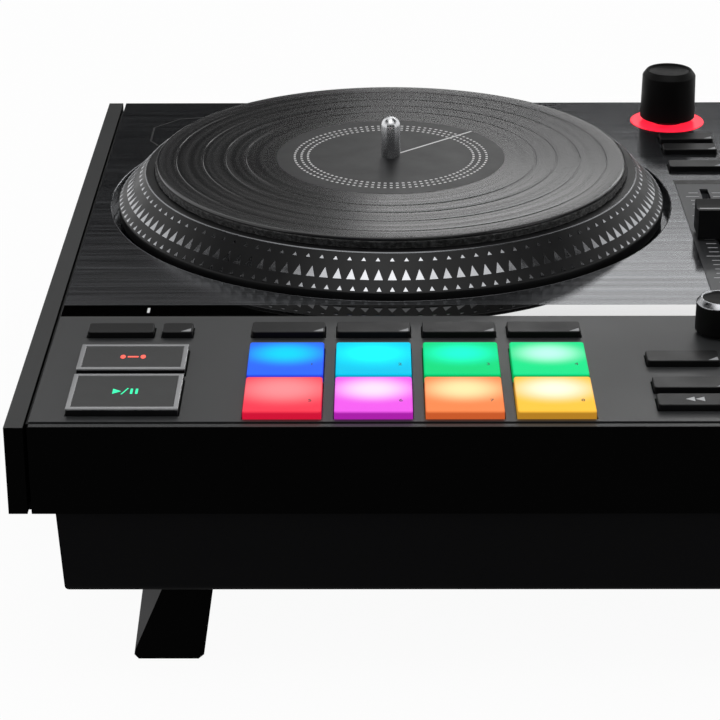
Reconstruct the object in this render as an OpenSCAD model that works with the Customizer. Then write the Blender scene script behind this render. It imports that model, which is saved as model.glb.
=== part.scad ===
// Two-deck controller with motorised platters, a centre mixer and four fold-away legs.
// Millimetres. +X is the player's right, +Y is away from the player and +Z is up.
// The origin is the middle of the footprint, on the surface that the legs stand on.
// Places on the top are given from the left end of the body and from its front face.

/* [Body] */
// Width over both side cheeks
body_w = 636; // [600:1:764]
// Depth from the front panel's face to the rear panel's face
body_d = 323; // [318:1:388]
// Height of the front panel, cheeks and rear panel
panel_h = 29; // [24:0.5:36]
// Height of the tray below the panels
tray_h = 29; // [24:0.5:40]
// Wall and floor of the tray
wall = 2.5; // [2:0.1:3]
// Thickness of the front and rear panels
panel_t = 3; // [2.6:0.1:3.6]
// Width of a side cheek, seen from above
cheek_w = 5.8; // [4.8:0.1:7]
// Dark seam between a cheek and the plates
cheek_seam = 1.2; // [0.8:0.1:1.5]
// Dark seam between the front lip and the pad plate
front_seam = 1.3; // [0.8:0.1:1.5]
// Thickness of the top plates
plate_t = 2; // [1.7:0.1:2.4]
// How far the tray lies inside the cheeks
tray_inset = 14; // [12:0.5:20]
// How far the tray's front lies behind the front panel
tray_setback = 2; // [1:0.5:6]
// How far the tray's back lies inside the rear panel
tray_back_inset = 14; // [12:0.5:20]
// How much narrower the tray gets towards its floor, each side
tray_taper = 1.3; // [0.5:0.1:2]

/* [Legs] */
// How far the tray floor stands above the table
leg_drop = 33.5; // [28:0.5:40]
// Width of a leg
leg_w = 22.5; // [18:0.5:27]
// Thickness of a leg
leg_t = 9; // [7.5:0.5:10]
// Distance from the body's end to a leg's outer edge at its hinge
leg_in = 39.6; // [36:0.5:48]
// How far a leg's foot stands outwards from its hinge
leg_splay = 5.7; // [3:0.1:7]
// Distance from the panel's face to a leg
leg_setback = 20; // [17:0.5:24]
// Diameter of a leg's hinge pin
leg_pin_d = 4; // [3.5:0.5:5]

/* [Decks] */
// Width of one deck, from the cheek's outer face to the mixer
deck_w = 262; // [262:1:270]
// Centre of a platter from the deck's left side
platter_x = 117.7; // [117:0.1:119]
// Clear plate between the guide strip and the platter well
well_margin = 2.8; // [2:0.1:6]
// Diameter of a record
record_d = 175; // [146:1:176]
// Thickness of a record
record_t = 1.4; // [1.1:0.1:1.7]
// Thickness of a slipmat
slipmat_t = 2.3; // [1.9:0.1:2.8]
// How far a slipmat reaches past the record
slipmat_rim = 0.5; // [0.3:0.1:1]
// Flat shoulder of the platter outside the slipmat
platter_shoulder = 3.5; // [2.5:0.1:4]
// Width of the platter's sloping rim, seen from above
platter_cone = 10.5; // [9:0.1:11]
// Height of the platter's top above the plates
platter_rise = 12.5; // [10.5:0.1:15]
// Upright edge of the platter above the plates
platter_edge = 1.5; // [1:0.1:3]
// Gap between a platter and its well
well_gap = 3.2; // [2.5:0.1:3.5]
// Diameter of a spindle
spindle_d = 7.2; // [6:0.1:8.6]
// How far a spindle stands above the record
spindle_rise = 15.3; // [12.5:0.1:18]

/* [Guide strip] */
// Front edge of the gloss guide strip
strip_y = 87.5; // [87:0.1:90]
// Depth of the guide strip
strip_d = 10.2; // [9:0.1:12]

/* [Pads] */
// Left edge of the first pad column
pad_x = 71.6; // [70:0.1:72]
// Front edge of the lower pad row
pad_y = 6.2; // [6.2:0.1:6.6]
// Width of a pad
pad_w = 23.9; // [20:0.1:24.4]
// Depth of a pad
pad_d = 26.1; // [21.8:0.1:26.2]
// Pad pitch across
pad_pitch_x = 27.8; // [27.6:0.1:28.2]
// Pad pitch from row to row
pad_pitch_y = 27.6; // [27.5:0.1:28]
// How far the pads stand above the plate
pad_rise = 2.5; // [2.1:0.1:3]

/* [Keys] */
// Front edge of the row of long keys
row_key_y = 69.3; // [68:0.1:71]
// Depth of a small key
key_d = 9; // [7.5:0.1:9.4]
// Width of a side key
side_key_w = 23.1; // [20:0.1:23.4]
// Width of a browse key
browse_key_w = 21; // [18:0.1:21.4]
// How far the small keys stand above the plate
key_rise = 2; // [1.7:0.1:2.6]
// Front edge of the play key
play_y = 8.5; // [8.4:0.1:9]
// Depth of the play key
play_d = 26.3; // [22:0.1:26.6]
// Front edge of the cue key
cue_y = 38.6; // [38.4:0.1:40]
// Depth of the cue key
cue_d = 19.7; // [16.5:0.1:20.5]
// Left edge of the play and cue keys
play_x = 17.8; // [17:0.1:19]
// Width of the play and cue keys
play_w = 34.2; // [28.5:0.1:36]
// Travel of every key and pad
key_travel = 1.2; // [1:0.1:1.4]

/* [Faders] */
// Centre line of the tempo fader and its keys from the deck's left side
column_x = 236.5; // [236:0.1:237]
// Middle of the tempo fader's travel
tempo_y = 163.5; // [162:0.1:165]
// Travel of a tempo fader
tempo_travel = 96; // [80:1:100]
// Travel of the mixer's faders
mixer_travel = 45; // [38:1:54]
// Width of a tempo fader's cap
cap_w = 18; // [15:0.5:19]
// Depth of a fader cap along its travel
cap_d = 12.5; // [10.5:0.1:15]
// Height of a fader cap's top above the plate
cap_rise = 12; // [10:0.5:14.5]
// Width of a fader slot
slot_w = 3.1; // [2.8:0.1:3.6]
// Height of the lever blade across its travel
lever_d = 3; // [2.5:0.1:3.6]

/* [Knobs] */
// Diameter of a browse knob
browse_d = 22.2; // [18.5:0.1:22.6]
// Height of a browse knob's top above the plate
browse_rise = 22; // [18.4:0.1:26.4]
// Outer diameter of a browse knob's light ring
ring_d = 29.8; // [26:0.1:30.4]
// Diameter of a loop knob
loop_d = 15.6; // [13:0.1:15.8]
// Height of a loop knob's top above the plate
loop_rise = 12.4; // [10.4:0.1:14.9]
// Diameter of a mixer knob
eq_d = 16; // [13.4:0.1:19]
// Height of a mixer knob's top above the plate
eq_rise = 17; // [14.2:0.1:20]
// Diameter of every knob's shaft
shaft_d = 6; // [5:0.1:7]

/* [Fits] */
// Gap round keys, pads and levers in their openings
key_gap = 0.3; // [0.2:0.05:0.35]
// Radial gap of a pin or shaft that turns in its bore
run_gap = 0.05; // [0.02:0.01:0.08]
// Gap between a turning or sliding piece and what it passes
pass_gap = 0.4; // [0.3:0.05:0.6]

/* [Hidden] */
$fn = 96;

// Levels
tray_z = leg_drop;
flange_z = leg_drop + tray_h;
top_z = flange_z + panel_h;

// Tray, about its own middle
tray_floor_r = 2.5;
tray_half_x = body_w / 2 - tray_inset;
tray_half_y = (body_d - tray_setback - tray_back_inset) / 2;
tray_mid_y = (tray_setback - tray_back_inset) / 2;

// Ledges that carry the plates
ledge_t = 3;
ledge_w = 3;
front_ledge = 2;

// Decks and mixer, from the left end
deck_pitch = body_w - deck_w;
mixer_x = body_w / 2;
plate_x = cheek_w + cheek_seam;
plate_y = panel_t + front_seam;
strip_back = strip_y + strip_d;
slipmat_r = record_d / 2 + slipmat_rim;
platter_top_r = slipmat_r + platter_shoulder;
platter_r = platter_top_r + platter_cone;
well_r = platter_r + well_gap;
platter_y = strip_back + well_margin + well_r;

// Foot of the guide strip, under the edges of both plates
strip_foot = 3;
strip_foot_t = 1.5;

// Platter drive, from the plates' top
skirt_low = -3.5;
hub_low = -4.5;
flange_low = -6.8;
motor_top = flange_low - pass_gap;
well_floor = -6;
well_floor_t = 1.6;
well_wall = 2;
hub_r = 22;
rotor_r = 24;
motor_r = 26;
motor_hole_r = motor_r + 2;
shaft_in_motor = 24;
spindle_r = spindle_d / 2;

// Keys, from the plates' top
flange_t = 1;
key_flange = 1.2;
board_t = 1.6;
switch_h = 3.5;
switch_w = 6;
press_gap = 0.1;
stem_low = -(plate_t + flange_t + 1.9);
switch_top = stem_low - key_travel - press_gap;
board_top = switch_top - switch_h;
function key(x, y, w, d, rise) = [x, y, w, d, rise];
function pad(n) = key(pad_x + (n - 1) % 4 * pad_pitch_x, pad_y + (n > 4 ? 0 : pad_pitch_y), pad_w, pad_d,
                      pad_rise);
play_key = key(play_x, play_y, play_w, play_d, pad_rise);
cue_key = key(play_x, cue_y, play_w, cue_d, pad_rise);
shift_w = 21.6;
sync_w = 10;
row_keys = concat(
    [key(play_x + 0.2, row_key_y, shift_w, key_d - 1, key_rise),
     key(play_x + play_w - sync_w + 0.3, row_key_y, sync_w, key_d - 1, key_rise)],
    [for (n = [0:3]) key(pad_x + n * pad_pitch_x, row_key_y, pad_w, key_d, key_rise)]
);
side_key_x = column_x - 38.4;
side_key_pitch = 25.8;
side_keys = [
    for (y = [11.8, 24.8, 45.4]) for (n = [0:1])
        key(side_key_x + n * side_key_pitch, y, side_key_w, key_d - 0.3, key_rise)
];
browse_keys = [
    for (y = [234.3, 254.8, 268]) key(column_x - browse_key_w / 2, y, browse_key_w, key_d - 1, key_rise)
];
mixer_key_w = 15;
channel_x = [mixer_x - 30, mixer_x + 30];
mixer_keys_list = concat(
    [for (x = channel_x) key(x - mixer_key_w / 2, row_key_y, mixer_key_w, key_d, key_rise)],
    [for (n = [-1.5:1:1.5]) key(mixer_x + n * 22 - mixer_key_w / 2, 286, mixer_key_w, key_d, key_rise)]
);
pads = [for (n = [1:8]) pad(n)];
small_keys = concat(row_keys, side_keys, browse_keys);
deck_keys = concat(pads, [play_key, cue_key], row_keys, side_keys);
function shifted(keys, by) = [for (k = keys) key(k[0] + by, k[1], k[2], k[3], k[4])];
all_keys = concat(deck_keys, browse_keys, shifted(deck_keys, deck_pitch),
                  shifted(browse_keys, deck_pitch), mixer_keys_list);
stem_r = 1.6;

// Faders, as [x, y, travel, turn]
function tempo(by) = [column_x + by, tempo_y, tempo_travel, 0];
channel_y = 135;
cross_y = 40;
mixer_cap_w = 14;
faders = [
    tempo(0), tempo(deck_pitch),
    [channel_x[0], channel_y, mixer_travel, 0], [channel_x[1], channel_y, mixer_travel, 0],
    [mixer_x, cross_y, mixer_travel, 90]
];
slot_end = 0.7;
lever_w = slot_w - 2 * key_gap;
pot_w = 10;
pot_end = 7;
cap_low = 1;
function slot_len(travel) = travel + lever_d + 2 * slot_end;

// Fader inserts, as [x, y, width, depth] of their centre and size
insert_t = 0.8;
insert_gap = 0.1;
tempo_insert_low = 103.2;
tempo_insert_high = 223.8;
tempo_insert = [column_x, (tempo_insert_low + tempo_insert_high) / 2, 20.2,
                tempo_insert_high - tempo_insert_low];
inserts = [
    tempo_insert,
    [tempo_insert[0] + deck_pitch, tempo_insert[1], tempo_insert[2], tempo_insert[3]],
    [mixer_x, channel_y, 84, mixer_travel + 18],
    [mixer_x, cross_y, mixer_travel + 30, 24]
];

// Knobs, as [x, y]
browse_at = [231.8, 297.5];
loop_at = [column_x - 12.3, 73.3];
eq_y = [190, 226, 262];
knobs = concat(
    [for (by = [0, deck_pitch]) for (p = [browse_at, loop_at]) [p[0] + by, p[1]]],
    [for (x = channel_x) for (y = eq_y) [x, y]]
);
pot_h = 6.5;
shaft_low = board_top + 2;
shaft_r = shaft_d / 2;
plate_hole_r = shaft_r + pass_gap;
browse_low = 2.1;
loop_low = 1;
eq_low = 1;
lens_t = 1;
lens_rise = 0.3;
lens_in_r = browse_d / 2 + 0.4;
meter_w = 12;
meter_d = 96;
meter_y = 226;

// Circuit boards, as [x, y, width, depth]
deck_board = [12, 6, 240, 78];
browse_board = [214, 230, 42, 84];
mixer_board = [mixer_x - 56, 18, 112, 284];
main_board = [mixer_x - 50, 90, 100, 180];
main_board_post = 6;
boss_r = 2.5;
deck_bosses = [[61.7, 14], [61.7, 62], [188.8, 14], [188.8, 62]];
browse_bosses = [[222, 248.4], [244, 248.4], [218, 284], [246, 284]];
mixer_boss_x = 48;

// Legs
hinge_z = tray_z + leg_t / 2 + 1;
leg_pocket_top = hinge_z + leg_t / 2 + 0.6;
leg_pocket_wall = 2;
leg_swing = hinge_z + 0.8;
leg_pin_r = leg_pin_d / 2;
leg_pin_in = 1.6;
leg_side_gap = 0.6;
leg_stop_gap = 0.3;

// Screws, sockets and feet
screw_r = 1.5;
screw_head_r = 2.8;
screw_head_t = 2;
boss_clear = 14.5;
boss_h = panel_h - wall - boss_clear;
screw_len = boss_h - 2;
screw_y = [40, 121, 202, 283];
screw_in = cheek_w + 4;
socket_above_flange = 8.5;
socket_z = socket_above_flange - (panel_h - wall);
jack_r = 5.5;
jack_bore_r = 3.2;
jack_len = 16;
mini_r = 3.6;
mini_bore_r = 1.8;
rca_x = [for (n = [0:3]) body_w / 2 + 60 + n * 18];
headphone_x = body_w - 44;
mini_x = body_w - 24;
mic_x = body_w / 2 - 60;
usb_x = body_w / 2 - 110;
power_x = body_w / 2 - 140;
foot_r = 9;
foot_t = 3;
foot_in = 92;

// Colours
tray_black = "#1b1b1d";
plate_grey = "#3a3b3e";
panel_black = "#0d0d0f";
gloss_black = "#060607";
insert_grey = "#8d8f92";
ring_red = "#e8103c";
board_green = "#20402f";
chrome = "#d8d9dc";
key_black = "#2a2b2e";
vinyl_black = "#17171a";
felt_black = "#202022";
pad_colours = ["#1d7bf0", "#10c4e8", "#14c98a", "#14d98a", "#f03058", "#e838d8", "#f08a50", "#f0c040"];

// Helpers

// Places children at a point of the top, z above the plates
module on_top(x, y, z = 0)
    translate([x - body_w / 2, y - body_d / 2, top_z + z]) children();

// Places children by height above the table
module from_table(x, y, z = 0)
    translate([x - body_w / 2, y - body_d / 2, z]) children();

// Places children at both decks
module both_decks()
    for (by = [0, deck_pitch]) translate([by, 0, 0]) children();

// Mirrors children onto the right or the back half when asked
module to_corner(right, back)
    mirror([right ? 1 : 0, 0, 0]) mirror([0, back ? 1 : 0, 0]) children();

function arc(x, y, r, from, to, n = 6) = [
    for (i = [0:n]) [x + r * cos(from + (to - from) * i / n), y + r * sin(from + (to - from) * i / n)]
];

// Trapezoid with rounded lower corners: the tray's outline from the front and from the side
function tray_outline(half, r) = concat(
    [[half, tray_h], [-half, tray_h]],
    arc(-half + tray_taper + r, r, r, 180, 270),
    arc(half - tray_taper - r, r, r, 270, 360)
);

// Flat bar with rounded corners, its lower left corner at the origin
module rounded_bar(w, d, h, r) {
    linear_extrude(h) {
        translate([r, 0]) square([w - 2 * r, d]);
        translate([0, r]) square([w, d - 2 * r]);
        for (x = [r, w - r]) for (y = [r, d - r]) translate([x, y]) circle(r);
    }
}

// Body

module tray_block() {
    intersection() {
        rotate([90, 0, 0]) translate([0, 0, -body_d]) linear_extrude(2 * body_d)
            polygon(tray_outline(tray_half_x, tray_floor_r));
        translate([0, tray_mid_y, 0]) rotate([90, 0, 90]) translate([0, 0, -body_w])
            linear_extrude(2 * body_w) polygon(tray_outline(tray_half_y, tray_floor_r));
    }
}

// The space that a front left leg folds into, grown by a margin
module leg_pocket(grow = 0) {
    x = leg_in - leg_splay - leg_side_gap - grow;
    y = leg_setback - leg_stop_gap - grow;
    low = tray_z - (grow > 0 ? 0 : 1);
    far_x = leg_in + leg_w + leg_side_gap + grow;
    far_y = leg_setback + leg_t / 2 + leg_swing + grow;
    from_table(x, y, low) cube([far_x - x, far_y - y, leg_pocket_top + grow - low]);
}

module leg_pin(r, reach) {
    x = leg_in - leg_splay - leg_side_gap - reach;
    from_table(x, leg_setback + leg_t / 2, hinge_z)
        rotate([0, 90, 0]) cylinder(r = r, h = leg_in + leg_w + leg_side_gap + reach - x);
}

module each_corner()
    for (right = [false, true]) for (back = [false, true]) to_corner(right, back) children();

module base_tray() {
    color(tray_black) difference() {
        union() {
            difference() {
                union() {
                    translate([0, 0, tray_z]) tray_block();
                    from_table(cheek_w, panel_t, flange_z)
                        cube([body_w - 2 * cheek_w, body_d - 2 * panel_t, wall]);
                }
                translate([-tray_half_x + tray_taper + wall, tray_mid_y - tray_half_y + tray_taper + wall,
                           tray_z + wall])
                    cube([2 * (tray_half_x - tray_taper - wall), 2 * (tray_half_y - tray_taper - wall),
                          tray_h + wall]);
            }
            each_corner() leg_pocket(leg_pocket_wall);
            for (x = [8, main_board[2] - 8]) for (y = [8, main_board[3] - 8])
                from_table(main_board[0] + x, main_board[1] + y, tray_z + wall - 0.5)
                    cylinder(r = boss_r, h = main_board_post + 0.5);
        }
        each_corner() {
            leg_pocket();
            leg_pin(leg_pin_r + run_gap, leg_pocket_wall + 0.1);
        }
        for (right = [false, true]) for (y = screw_y)
            to_corner(right, false) from_table(screw_in, y, flange_z - 1)
                cylinder(r = screw_r + 0.2, h = wall + 2);
    }
}

module cheek() {
    difference() {
        union() {
            from_table(0, 0, flange_z) cube([cheek_w, body_d, panel_h]);
            from_table(cheek_w - 0.5, panel_t + 4, top_z - plate_t - ledge_t)
                cube([ledge_w + 0.5, body_d - 2 * panel_t - 8, ledge_t]);
            for (y = screw_y) from_table(screw_in, y, flange_z + wall) {
                cylinder(r = 3.2, h = boss_h);
                translate([-screw_in + cheek_w - 0.5, -2, 0]) cube([screw_in - cheek_w, 4, boss_h]);
            }
        }
        for (y = screw_y) from_table(screw_in, y, flange_z + wall - 1)
            cylinder(r = screw_r + run_gap, h = screw_len - wall + 2);
    }
}

module side_cheeks() {
    color(plate_grey) for (right = [false, true]) to_corner(right, false) cheek();
}

module front_panel() {
    color(panel_black) difference() {
        union() {
            from_table(plate_x, 0, flange_z) cube([body_w - 2 * plate_x, panel_t, panel_h]);
            from_table(plate_x, panel_t - 0.5, top_z - plate_t - ledge_t)
                cube([body_w - 2 * plate_x, front_ledge + 0.5, ledge_t]);
        }
        on_top(headphone_x, -1, socket_z) rotate([-90, 0, 0]) cylinder(r = jack_r + 0.2, h = panel_t + 3);
        on_top(mini_x, -1, socket_z) rotate([-90, 0, 0]) cylinder(r = mini_r + 0.2, h = panel_t + 3);
    }
}

module rear_hole(x, r)
    on_top(x, body_d - panel_t - 1, socket_z) rotate([-90, 0, 0]) cylinder(r = r, h = panel_t + 2);

module rear_panel() {
    color(panel_black) difference() {
        from_table(plate_x, body_d - panel_t, flange_z)
            cube([body_w - 2 * plate_x, panel_t, panel_h - plate_t]);
        for (x = rca_x) rear_hole(x, 6);
        rear_hole(mic_x, jack_r + 0.2);
        rear_hole(power_x, 5.2);
        on_top(usb_x - 6.2, body_d - panel_t - 1, socket_z - 5.6) cube([12.4, panel_t + 2, 11.2]);
    }
}

// Openings that keys, faders and knobs need in the plates
module key_openings(keys)
    for (k = keys) on_top(k[0] - key_gap, k[1] - key_gap, -plate_t - 1)
        cube([k[2] + 2 * key_gap, k[3] + 2 * key_gap, plate_t + 2]);

module fader_slot(f)
    on_top(f[0], f[1], -plate_t - 1) rotate([0, 0, f[3]])
        translate([-slot_w / 2, -slot_len(f[2]) / 2, 0]) cube([slot_w, slot_len(f[2]), plate_t + 2]);

module insert_recess(i, gap, cut)
    on_top(i[0] - i[2] / 2 - gap, i[1] - i[3] / 2 - gap, -insert_t)
        cube([i[2] + 2 * gap, i[3] + 2 * gap, insert_t + cut]);

module shaft_holes()
    for (p = knobs) on_top(p[0], p[1], -plate_t - 1) cylinder(r = plate_hole_r, h = plate_t + 2);

module board_bosses(places)
    for (p = places) on_top(p[0], p[1], board_top) cylinder(r = boss_r, h = -board_top - plate_t + 0.5);

module plate_cuts() {
    for (f = faders) fader_slot(f);
    for (i = inserts) insert_recess(i, insert_gap, 1);
    shaft_holes();
}

module well_pan()
    on_top(platter_x, platter_y, well_floor - well_floor_t)
        cylinder(r = well_r + well_wall, h = -well_floor + well_floor_t - 0.5);

module well_cut()
    on_top(platter_x, platter_y, well_floor) {
        cylinder(r = well_r, h = 20);
        translate([0, 0, -well_floor_t - 1]) cylinder(r = motor_hole_r, h = well_floor_t + 2);
    }

module lens_recess()
    on_top(browse_at[0], browse_at[1], -lens_t) cylinder(r = ring_d / 2 + insert_gap, h = lens_t + 1);

module deck_plate() {
    color(plate_grey) difference() {
        union() {
            on_top(plate_x, strip_back, -plate_t)
                cube([body_w - 2 * plate_x, body_d - strip_back, plate_t]);
            both_decks() {
                well_pan();
                board_bosses(browse_bosses);
            }
            board_bosses([for (x = [-mixer_boss_x, mixer_boss_x]) for (y = [175, 245]) [mixer_x + x, y]]);
        }
        both_decks() {
            well_cut();
            lens_recess();
            key_openings(browse_keys);
        }
        key_openings(mixer_keys_list);
        plate_cuts();
        on_top(mixer_x - meter_w / 2 - insert_gap, meter_y - meter_d / 2 - insert_gap, -lens_t)
            cube([meter_w + 2 * insert_gap, meter_d + 2 * insert_gap, lens_t + 1]);
    }
}

module pad_plate() {
    color(plate_grey) difference() {
        union() {
            on_top(plate_x, plate_y, -plate_t)
                cube([body_w - 2 * plate_x, strip_y - plate_y, plate_t]);
            both_decks() board_bosses(deck_bosses);
            board_bosses([for (x = [-mixer_boss_x, mixer_boss_x]) [mixer_x + x, 66]]);
        }
        both_decks() key_openings(deck_keys);
        key_openings(mixer_keys_list);
        plate_cuts();
    }
}

module guide_strip() {
    color(gloss_black) {
        on_top(plate_x, strip_y, -plate_t) cube([body_w - 2 * plate_x, strip_d, plate_t]);
        difference() {
            on_top(cheek_w + 2 * ledge_w, strip_y - strip_foot, -plate_t - strip_foot_t)
                cube([body_w - 2 * (cheek_w + 2 * ledge_w), strip_d + 2 * strip_foot, strip_foot_t]);
            both_decks() on_top(platter_x, platter_y, -plate_t - strip_foot_t - 1)
                cylinder(r = well_r + well_wall + pass_gap, h = strip_foot_t + 1);
        }
    }
}

module fader_plates() {
    color(insert_grey) difference() {
        for (i = inserts) insert_recess(i, 0, 0);
        for (f = faders) fader_slot(f);
    }
}

module light_lenses() {
    color(ring_red) both_decks() on_top(browse_at[0], browse_at[1], -lens_t) difference() {
        cylinder(r = ring_d / 2, h = lens_t + lens_rise);
        translate([0, 0, -1]) cylinder(r = lens_in_r, h = lens_t + lens_rise + 2);
    }
    color("#30c070") on_top(mixer_x - meter_w / 2, meter_y - meter_d / 2, -lens_t)
        cube([meter_w, meter_d, lens_t]);
}

// Platters

module platter_at(right) on_top(platter_x + (right ? deck_pitch : 0), platter_y) children();

module platter(right) {
    skin = 3;
    bore = spindle_r + 0.02;
    color("#3c3c3f") platter_at(right) rotate_extrude() polygon([
        [bore, hub_low], [hub_r, hub_low], [hub_r, platter_rise - skin],
        [platter_top_r - 2, platter_rise - skin], [platter_r - skin, platter_edge],
        [platter_r - skin, skirt_low], [platter_r, skirt_low], [platter_r, platter_edge],
        [platter_top_r, platter_rise], [bore, platter_rise]
    ]);
}

module disc(right, z, r, t, bore_r, paint)
    color(paint) platter_at(right) translate([0, 0, z]) difference() {
        cylinder(r = r, h = t);
        translate([0, 0, -1]) cylinder(r = bore_r, h = t + 2);
    }

module slipmat(right) disc(right, platter_rise, slipmat_r, slipmat_t, spindle_r + 0.5, felt_black);

module record(right)
    disc(right, platter_rise + slipmat_t, record_d / 2, record_t, spindle_r + run_gap, vinyl_black);

module spindle(right) {
    tip = platter_rise + slipmat_t + record_t + spindle_rise - spindle_r;
    low = motor_top - shaft_in_motor;
    color(chrome) platter_at(right) {
        translate([0, 0, low]) cylinder(r = spindle_r, h = tip - low);
        translate([0, 0, tip]) sphere(spindle_r);
        translate([0, 0, flange_low]) cylinder(r = rotor_r, h = hub_low - flange_low);
    }
}

module platter_motors() {
    floor_z = tray_z + wall;
    color("#5a5c60") for (right = [false, true]) {
        x = platter_x + (right ? deck_pitch : 0);
        difference() {
            from_table(x, platter_y, floor_z) cylinder(r = motor_r, h = top_z + motor_top - floor_z);
            on_top(x, platter_y, motor_top - shaft_in_motor - 1)
                cylinder(r = spindle_r + run_gap, h = shaft_in_motor + 2);
        }
    }
}

// Electronics

module board(b, z) from_table(b[0], b[1], z) cube([b[2], b[3], board_t]);

module circuit_boards() {
    z = top_z + board_top - board_t;
    color(board_green) {
        for (by = [0, deck_pitch]) for (b = [deck_board, browse_board]) translate([by, 0, 0]) board(b, z);
        board(mixer_board, z);
        board(main_board, tray_z + wall + main_board_post);
    }
}

module slide_pot(f) {
    len = slot_len(f[2]) + 2 * pot_end;
    h = -plate_t - board_top;
    on_top(f[0], f[1], board_top) rotate([0, 0, f[3]]) difference() {
        translate([-pot_w / 2, -len / 2, 0]) cube([pot_w, len, h]);
        translate([-slot_w / 2, -slot_len(f[2]) / 2, 1]) cube([slot_w, slot_len(f[2]), h]);
    }
}

module turn_pot(p) {
    on_top(p[0], p[1], board_top) difference() {
        translate([-5, -5, 0]) cube([10, 10, pot_h]);
        translate([0, 0, shaft_low - board_top - 0.3]) cylinder(r = shaft_r + run_gap, h = pot_h);
    }
}

module potentiometers() {
    color("#6a6c70") {
        for (f = faders) slide_pot(f);
        for (p = knobs) turn_pot(p);
    }
}

module key_switches() {
    color("#b9bbbf") for (k = all_keys)
        on_top(k[0] + (k[2] - switch_w) / 2, k[1] + (k[3] - switch_w) / 2, board_top)
            cube([switch_w, switch_w, switch_h]);
}

module jack(r, bore_r, len)
    rotate([-90, 0, 0]) difference() {
        cylinder(r = r, h = len + 1.5);
        translate([0, 0, -1]) cylinder(r = bore_r, h = len + 1);
    }

module rca_socket()
    rotate([90, 0, 0]) difference() {
        union() {
            cylinder(r = 4.15, h = 12);
            translate([0, 0, panel_t]) cylinder(r = 7.5, h = 9);
        }
        translate([0, 0, -1]) cylinder(r = 1.6, h = 9);
    }

module usb_socket()
    difference() {
        translate([-6, -14, -5.4]) cube([12, 14, 10.8]);
        difference() {
            translate([-4.2, -9, -3.9]) cube([8.4, 10, 7.8]);
            translate([-2.8, -10, -1.6]) cube([5.6, 10, 3.2]);
        }
    }

module power_socket()
    rotate([90, 0, 0]) difference() {
        cylinder(r = 5, h = 13);
        difference() {
            translate([0, 0, -1]) cylinder(r = 3.1, h = 11);
            translate([0, 0, -2]) cylinder(r = 1, h = 13);
        }
    }

module sockets() {
    color(gloss_black) {
        on_top(headphone_x, 0, socket_z) jack(jack_r, jack_bore_r, jack_len);
        on_top(mini_x, 0, socket_z) jack(mini_r, mini_bore_r, jack_len);
        on_top(mic_x, body_d, socket_z) rotate([0, 0, 180]) jack(jack_r, jack_bore_r, jack_len);
        for (x = rca_x) on_top(x, body_d, socket_z) rca_socket();
        on_top(usb_x, body_d, socket_z) usb_socket();
        on_top(power_x, body_d, socket_z) power_socket();
    }
}

module case_screws() {
    color(chrome) for (right = [false, true]) for (y = screw_y)
        to_corner(right, false) from_table(screw_in, y, flange_z) {
            cylinder(r = screw_r, h = screw_len);
            translate([0, 0, -screw_head_t]) cylinder(r = screw_head_r, h = screw_head_t);
        }
}

module tray_feet() {
    color("#111113") each_corner() from_table(foot_in, leg_setback + 14, tray_z - foot_t)
        cylinder(r = foot_r, h = foot_t);
}

// Keys and pads

module key_body(k, corner) {
    on_top(k[0], k[1], -plate_t - flange_t) rounded_bar(k[2], k[3], plate_t + flange_t + k[4], corner);
    on_top(k[0] - key_flange, k[1] + corner, -plate_t - flange_t)
        cube([k[2] + 2 * key_flange, k[3] - 2 * corner, flange_t]);
    on_top(k[0] + k[2] / 2, k[1] + k[3] / 2, stem_low)
        cylinder(r = stem_r, h = -plate_t - flange_t - stem_low + 0.5);
}

module keys(list, paint, corner = 1.2, by = 0)
    color(paint) translate([by, 0, 0]) for (k = list) key_body(k, corner);

module pad_key(n) keys([pad(n)], pad_colours[n - 1], 2);

module pad_mat_right() {
    web = 0.8;
    color(pad_colours[1]) translate([deck_pitch, 0, 0]) {
        for (k = pads) {
            on_top(k[0], k[1], -plate_t - web) rounded_bar(k[2], k[3], plate_t + web + k[4], 2);
            on_top(k[0] + k[2] / 2, k[1] + k[3] / 2, stem_low)
                cylinder(r = stem_r, h = -plate_t - web - stem_low + 0.5);
        }
        on_top(pad_x - key_flange, pad_y, -plate_t - web)
            cube([3 * pad_pitch_x + pad_w + 2 * key_flange, pad_pitch_y + pad_d, web]);
    }
}

// Faders and knobs

module fader(f, w) {
    half = cap_d / 2;
    top = cap_rise;
    color(key_black) on_top(f[0], f[1]) rotate([0, 0, f[3]]) {
        translate([-w / 2, 0, 0]) rotate([90, 0, 90]) linear_extrude(w) polygon([
            [-half, cap_low], [half, cap_low], [half, cap_low + 3], [half * 0.8, top],
            [half * 0.24, top - 1.2], [-half * 0.24, top - 1.2], [-half * 0.8, top], [-half, cap_low + 3]
        ]);
        translate([-lever_w / 2, -lever_d / 2, board_top + 1.6])
            cube([lever_w, lever_d, cap_low + 0.5 - board_top - 1.6]);
    }
}

module knob_shaft(p, low) on_top(p[0], p[1], shaft_low) cylinder(r = shaft_r, h = low + 1 - shaft_low);

// Round knob with a chamfered top and a shallow dish
module dished_knob(p, d, low, rise, rim, paint) {
    dish_r = d / 2 - rim;
    color(paint) {
        on_top(p[0], p[1], low) difference() {
            union() {
                cylinder(r1 = d / 2, r2 = d / 2 - 0.4, h = rise - low - 1.6);
                translate([0, 0, rise - low - 1.6]) cylinder(r1 = d / 2 - 0.4, r2 = d / 2 - 1.6, h = 1.6);
            }
            translate([0, 0, rise - low - 0.8]) cylinder(r = dish_r, h = 2);
        }
        knob_shaft(p, low);
    }
}

module browse_knob(by) dished_knob([browse_at[0] + by, browse_at[1]], browse_d, browse_low, browse_rise,
                                   2.8, key_black);

module loop_knob(by) dished_knob([loop_at[0] + by, loop_at[1]], loop_d, loop_low, loop_rise, 1.9, key_black);

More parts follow.
